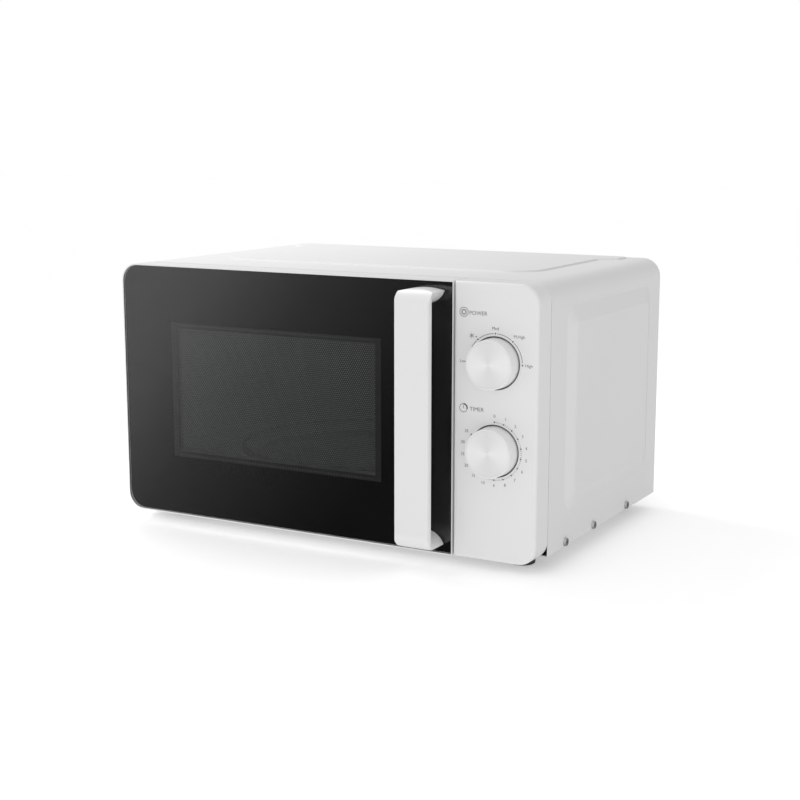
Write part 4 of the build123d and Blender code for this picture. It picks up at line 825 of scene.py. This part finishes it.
# A row of small pale ticks lies along the border at its top and at its bottom.
tick_row, given, result = begin_group(
    "tick_row", "GeometryNodeTree",
    [("Start", VECTOR, None), ("Step", NUMBER, 0.003), ("Count", "NodeSocketInt", 60),
     ("Width", NUMBER, 0.001),
     ("Length", NUMBER, 0.001), ("Depth", NUMBER, 0.0001), ("Material", "NodeSocketMaterial", None)],
    [("Geometry", "NodeSocketGeometry")])
along = add_node(tick_row, "ShaderNodeCombineXYZ", {"X": given.outputs["Step"]})
line = add_node(tick_row, "GeometryNodeMeshLine", {"Count": given.outputs["Count"],
                                                   "Offset": along.outputs[0],
                                                  "Start Location": given.outputs["Start"]})
tick = add_node(tick_row, "GeometryNodeMeshCube", {"Size": add_node(tick_row, "ShaderNodeCombineXYZ", {
    "X": given.outputs["Width"], "Y": given.outputs["Depth"], "Z": given.outputs["Length"]}).outputs[0]})
ticks = add_node(tick_row, "GeometryNodeInstanceOnPoints",
                 {"Points": line.outputs[0], "Instance": tick.outputs[0]})
close_tree(tick_row, ticks.outputs[0], given, result)

TICK_PITCH = 3.1
TICK_WIDTH = 1.4
TICK_HEIGHT = 0.9
TICK_THICK = 0.008
TICK_INSET = 2.1                              # from the window's edge to a row's middle
TICKS = int((FIELD[1] - FIELD[0]) / TICK_PITCH)
ticks_made = []
for z in (WINDOW[3] - TICK_INSET, WINDOW[2] + TICK_INSET):
    ticks_made.append(grow("ticks", tick_row, {
        "Start": ((FIELD[0] + 0.8) * MM, (BACK_PRINT[0] - TICK_THICK / 2) * MM, z * MM),
        "Step": TICK_PITCH * MM, "Count": TICKS, "Width": TICK_WIDTH * MM, "Length": TICK_HEIGHT * MM,
        "Depth": TICK_THICK * MM, "Material": tick_pale}))
tick_print = join_meshes("tick_print", ticks_made)
for made in (black_print, border_print, tick_print):
    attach(made, "door")

# ---------------------------------------------------------------- pierced screen
# The door's steel screen keeps the microwaves in. Fine holes in staggered rows pierce it behind the window,
# its edge is folded back for the seal, and it is sprayed dark grey.
screen_dark = moulded("screen_dark", (0.13, 0.138, 0.135), 0.55, grain=900.0, depth=0.000006, tone=0.06)
screen_dark.node_tree.nodes["Principled BSDF"].inputs["Specular IOR Level"].default_value = 0.1
SHEET_X = (-201.0, 113.0)
SHEET_Z = (28.0, 250.0)
SHEET_Y = (-133.4, -132.6)
RIM_BACK = -117.0
FOLD = 0.8
HOLE_PITCH = 2.1
HOLE_R = 0.72
ROW_PITCH = HOLE_PITCH * math.sqrt(3) / 2
ROWS = 2 * int((FIELD[3] - FIELD[2]) / ROW_PITCH / 2)
HOLES = int((FIELD[1] - FIELD[0]) / HOLE_PITCH)

screen_tree, given, result = begin_group(
    "screen", "GeometryNodeTree",
    [("Width", NUMBER, 0.3), ("Below", NUMBER, 0.05), ("Above", NUMBER, 0.05), ("Pitch", NUMBER, 0.002),
     ("Row pitch", NUMBER, 0.0018), ("Rows", "NodeSocketInt", 60), ("Holes", "NodeSocketInt", 100),
     ("Radius", NUMBER, 0.0007), ("First hole", NUMBER, 0.0), ("Thickness", NUMBER, 0.0008),
     ("Corner", VECTOR, None), ("Material", "NodeSocketMaterial", None)],
    [("Geometry", "NodeSocketGeometry")])


def plain_strip(tree, width, height, middle):
    """A curve round a strip of sheet, in X and Y, as high as given and about a middle."""
    strip = add_node(tree, "GeometryNodeCurvePrimitiveQuadrilateral", {"Width": width, "Height": height})
    centre = add_node(tree, "ShaderNodeCombineXYZ",
                      {"X": math_node(tree, "MULTIPLY", width, 0.5), "Y": middle})
    return add_node(tree, "GeometryNodeTransform", {0: strip.outputs[0],
                                                    "Translation": centre.outputs[0]}).outputs[0]


def hole_row(tree, given, shift):
    """One filled strip with its row of holes, moved along by a share of the pitch."""
    edge = plain_strip(tree, given.outputs["Width"], given.outputs["Row pitch"],
                       math_node(tree, "MULTIPLY", given.outputs["Row pitch"], 0.5))
    first = math_node(tree, "ADD", given.outputs["First hole"],
                      math_node(tree, "MULTIPLY", given.outputs["Pitch"], shift))
    start = add_node(tree, "ShaderNodeCombineXYZ", {
        "X": first, "Y": math_node(tree, "MULTIPLY", given.outputs["Row pitch"], 0.5)})
    step = add_node(tree, "ShaderNodeCombineXYZ", {"X": given.outputs["Pitch"]})
    line = add_node(tree, "GeometryNodeMeshLine", {"Count": given.outputs["Holes"],
                                                  "Start Location": start.outputs[0],
                                                  "Offset": step.outputs[0]})
    hole = add_node(tree, "GeometryNodeCurvePrimitiveCircle",
                    {"Resolution": 6, "Radius": given.outputs["Radius"]})
    pierced = add_node(tree, "GeometryNodeInstanceOnPoints", {"Points": line.outputs[0],
                                                             "Instance": hole.outputs[0]})
    holes = add_node(tree, "GeometryNodeRealizeInstances", {0: pierced.outputs[0]})
    both = tree.nodes.new("GeometryNodeJoinGeometry")
    tree.links.new(edge, both.inputs[0])
    tree.links.new(holes.outputs[0], both.inputs[0])
    return add_node(tree, "GeometryNodeFillCurve", {0: both.outputs[0]}).outputs[0]


half_rows = math_node(screen_tree, "DIVIDE", given.outputs["Rows"], 2.0)
stacked = screen_tree.nodes.new("GeometryNodeJoinGeometry")
for shift in (0, 1):
    strip = hole_row(screen_tree, given, shift * 0.5)
    start = add_node(screen_tree, "ShaderNodeCombineXYZ", {
        "Y": math_node(screen_tree, "ADD", given.outputs["Below"],
                       math_node(screen_tree, "MULTIPLY", given.outputs["Row pitch"], float(shift)))})
    step = add_node(screen_tree, "ShaderNodeCombineXYZ", {
        "Y": math_node(screen_tree, "MULTIPLY", given.outputs["Row pitch"], 2.0)})
    up = add_node(screen_tree, "GeometryNodeMeshLine", {"Count": half_rows,
                                                        "Start Location": start.outputs[0],
                                                        "Offset": step.outputs[0]})
    rows_laid = add_node(screen_tree, "GeometryNodeInstanceOnPoints",
                         {"Points": up.outputs[0], "Instance": strip})
    screen_tree.links.new(rows_laid.outputs[0], stacked.inputs[0])
total = math_node(screen_tree, "MULTIPLY", given.outputs["Rows"], given.outputs["Row pitch"])
above_middle = math_node(screen_tree, "ADD", math_node(screen_tree, "ADD", given.outputs["Below"], total),
                         math_node(screen_tree, "MULTIPLY", given.outputs["Above"], 0.5))
for height, middle in ((given.outputs["Below"], math_node(screen_tree, "MULTIPLY", given.outputs["Below"],
                                                          0.5)),
                       (given.outputs["Above"], above_middle)):
    margin = add_node(screen_tree, "GeometryNodeFillCurve", {
        0: plain_strip(screen_tree, given.outputs["Width"], height, middle)})
    screen_tree.links.new(margin.outputs[0], stacked.inputs[0])
flat = add_node(screen_tree, "GeometryNodeRealizeInstances", {0: stacked.outputs[0]})
welded = add_node(screen_tree, "GeometryNodeMergeByDistance", {0: flat.outputs[0], "Distance": 1e-6})
thick = add_node(screen_tree, "GeometryNodeExtrudeMesh", {
    0: welded.outputs[0], "Offset": (0, 0, 1), "Offset Scale": given.outputs["Thickness"],
    "Individual": False})
under = add_node(screen_tree, "GeometryNodeFlipFaces", {0: welded.outputs[0]})
whole = screen_tree.nodes.new("GeometryNodeJoinGeometry")
screen_tree.links.new(thick.outputs[0], whole.inputs[0])
screen_tree.links.new(under.outputs[0], whole.inputs[0])
closed = add_node(screen_tree, "GeometryNodeMergeByDistance", {0: whole.outputs[0], "Distance": 1e-6})
upright = add_node(screen_tree, "GeometryNodeTransform",
                   {0: closed.outputs[0], "Rotation": (math.pi / 2, 0, 0),
                                                          "Translation": given.outputs["Corner"]})
close_tree(screen_tree, upright.outputs[0], given, result)

rows_high = ROWS * ROW_PITCH
below = (FIELD[2] + FIELD[3] - rows_high) / 2 - SHEET_Z[0]
holes_wide = (HOLES - 0.5) * HOLE_PITCH
pierced_sheet = grow("pierced_sheet", screen_tree, {
    "Width": (SHEET_X[1] - SHEET_X[0]) * MM, "Below": below * MM,
    "Above": (SHEET_Z[1] - SHEET_Z[0] - below - rows_high) * MM, "Pitch": HOLE_PITCH * MM,
    "Row pitch": ROW_PITCH * MM, "Rows": ROWS, "Holes": HOLES, "Radius": HOLE_R * MM,
    "First hole": ((FIELD[0] + FIELD[1] - holes_wide) / 2 - SHEET_X[0]) * MM,
    "Thickness": (SHEET_Y[1] - SHEET_Y[0]) * MM,
    "Corner": (SHEET_X[0] * MM, SHEET_Y[1] * MM, SHEET_Z[0] * MM), "Material": screen_dark})
fold_box = (*SHEET_X, *SHEET_Z)
fold_inner = (SHEET_X[0] + FOLD, SHEET_X[1] - FOLD, SHEET_Z[0] + FOLD, SHEET_Z[1] - FOLD)
fold = sheet_between("fold", box_path(fold_box), box_path(fold_inner), (SHEET_Y[1] - 0.01, RIM_BACK),
                     screen_dark)
screen = join_meshes("door_screen", [pierced_sheet, fold])
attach(screen, "door")
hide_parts("door_inner_panel")

dress(black_moulding, "seal_cover")

# ---------------------------------------------------------------- latch spring
# A coil of hard-drawn wire between the latch bar and a shelf of the door's frame.
SPRING_AXIS = (124.0, -124.0)
SPRING_Z = (204.0, 226.0)
SPRING_R = 3.0
SPRING_WIRE = 0.9
SPRING_TURNS = 7.6
spring_tree, given, result = begin_group(
    "spring", "GeometryNodeTree",
    [("Turns", NUMBER, 7.0), ("Radius", NUMBER, 0.003), ("Height", NUMBER, 0.02), ("Wire", NUMBER, 0.0009),
     ("Foot", VECTOR, None), ("Material", "NodeSocketMaterial", None)],
    [("Geometry", "NodeSocketGeometry")])
rise = add_node(spring_tree, "GeometryNodeCurveSpiral", {
    "Resolution": 24, "Rotations": given.outputs["Turns"], "Start Radius": given.outputs["Radius"],
    "End Radius": given.outputs["Radius"], "Height": given.outputs["Height"]})
section = add_node(spring_tree, "GeometryNodeCurvePrimitiveCircle", {
    "Resolution": 10, "Radius": math_node(spring_tree, "MULTIPLY", given.outputs["Wire"], 0.5)})
drawn = add_node(spring_tree, "GeometryNodeCurveToMesh", {0: rise.outputs[0], 1: section.outputs[0],
                                                         "Fill Caps": True})
close_tree(spring_tree, drawn.outputs[0], given, result, "Foot")
spring = grow("coil_spring", spring_tree, {
    "Turns": SPRING_TURNS, "Radius": SPRING_R * MM, "Wire": SPRING_WIRE * MM,
    "Height": (SPRING_Z[1] - SPRING_Z[0] - 1.1 * SPRING_WIRE) * MM,
    "Foot": (SPRING_AXIS[0] * MM, SPRING_AXIS[1] * MM, (SPRING_Z[0] + 0.55 * SPRING_WIRE) * MM),
    "Material": drawn_metal("spring_wire", (0.55, 0.55, 0.57), 0.30, (900, 900, 200))})
for face in spring.data.polygons:
    face.use_smooth = True
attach(spring, "door")
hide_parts("latch_spring")
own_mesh(spring)
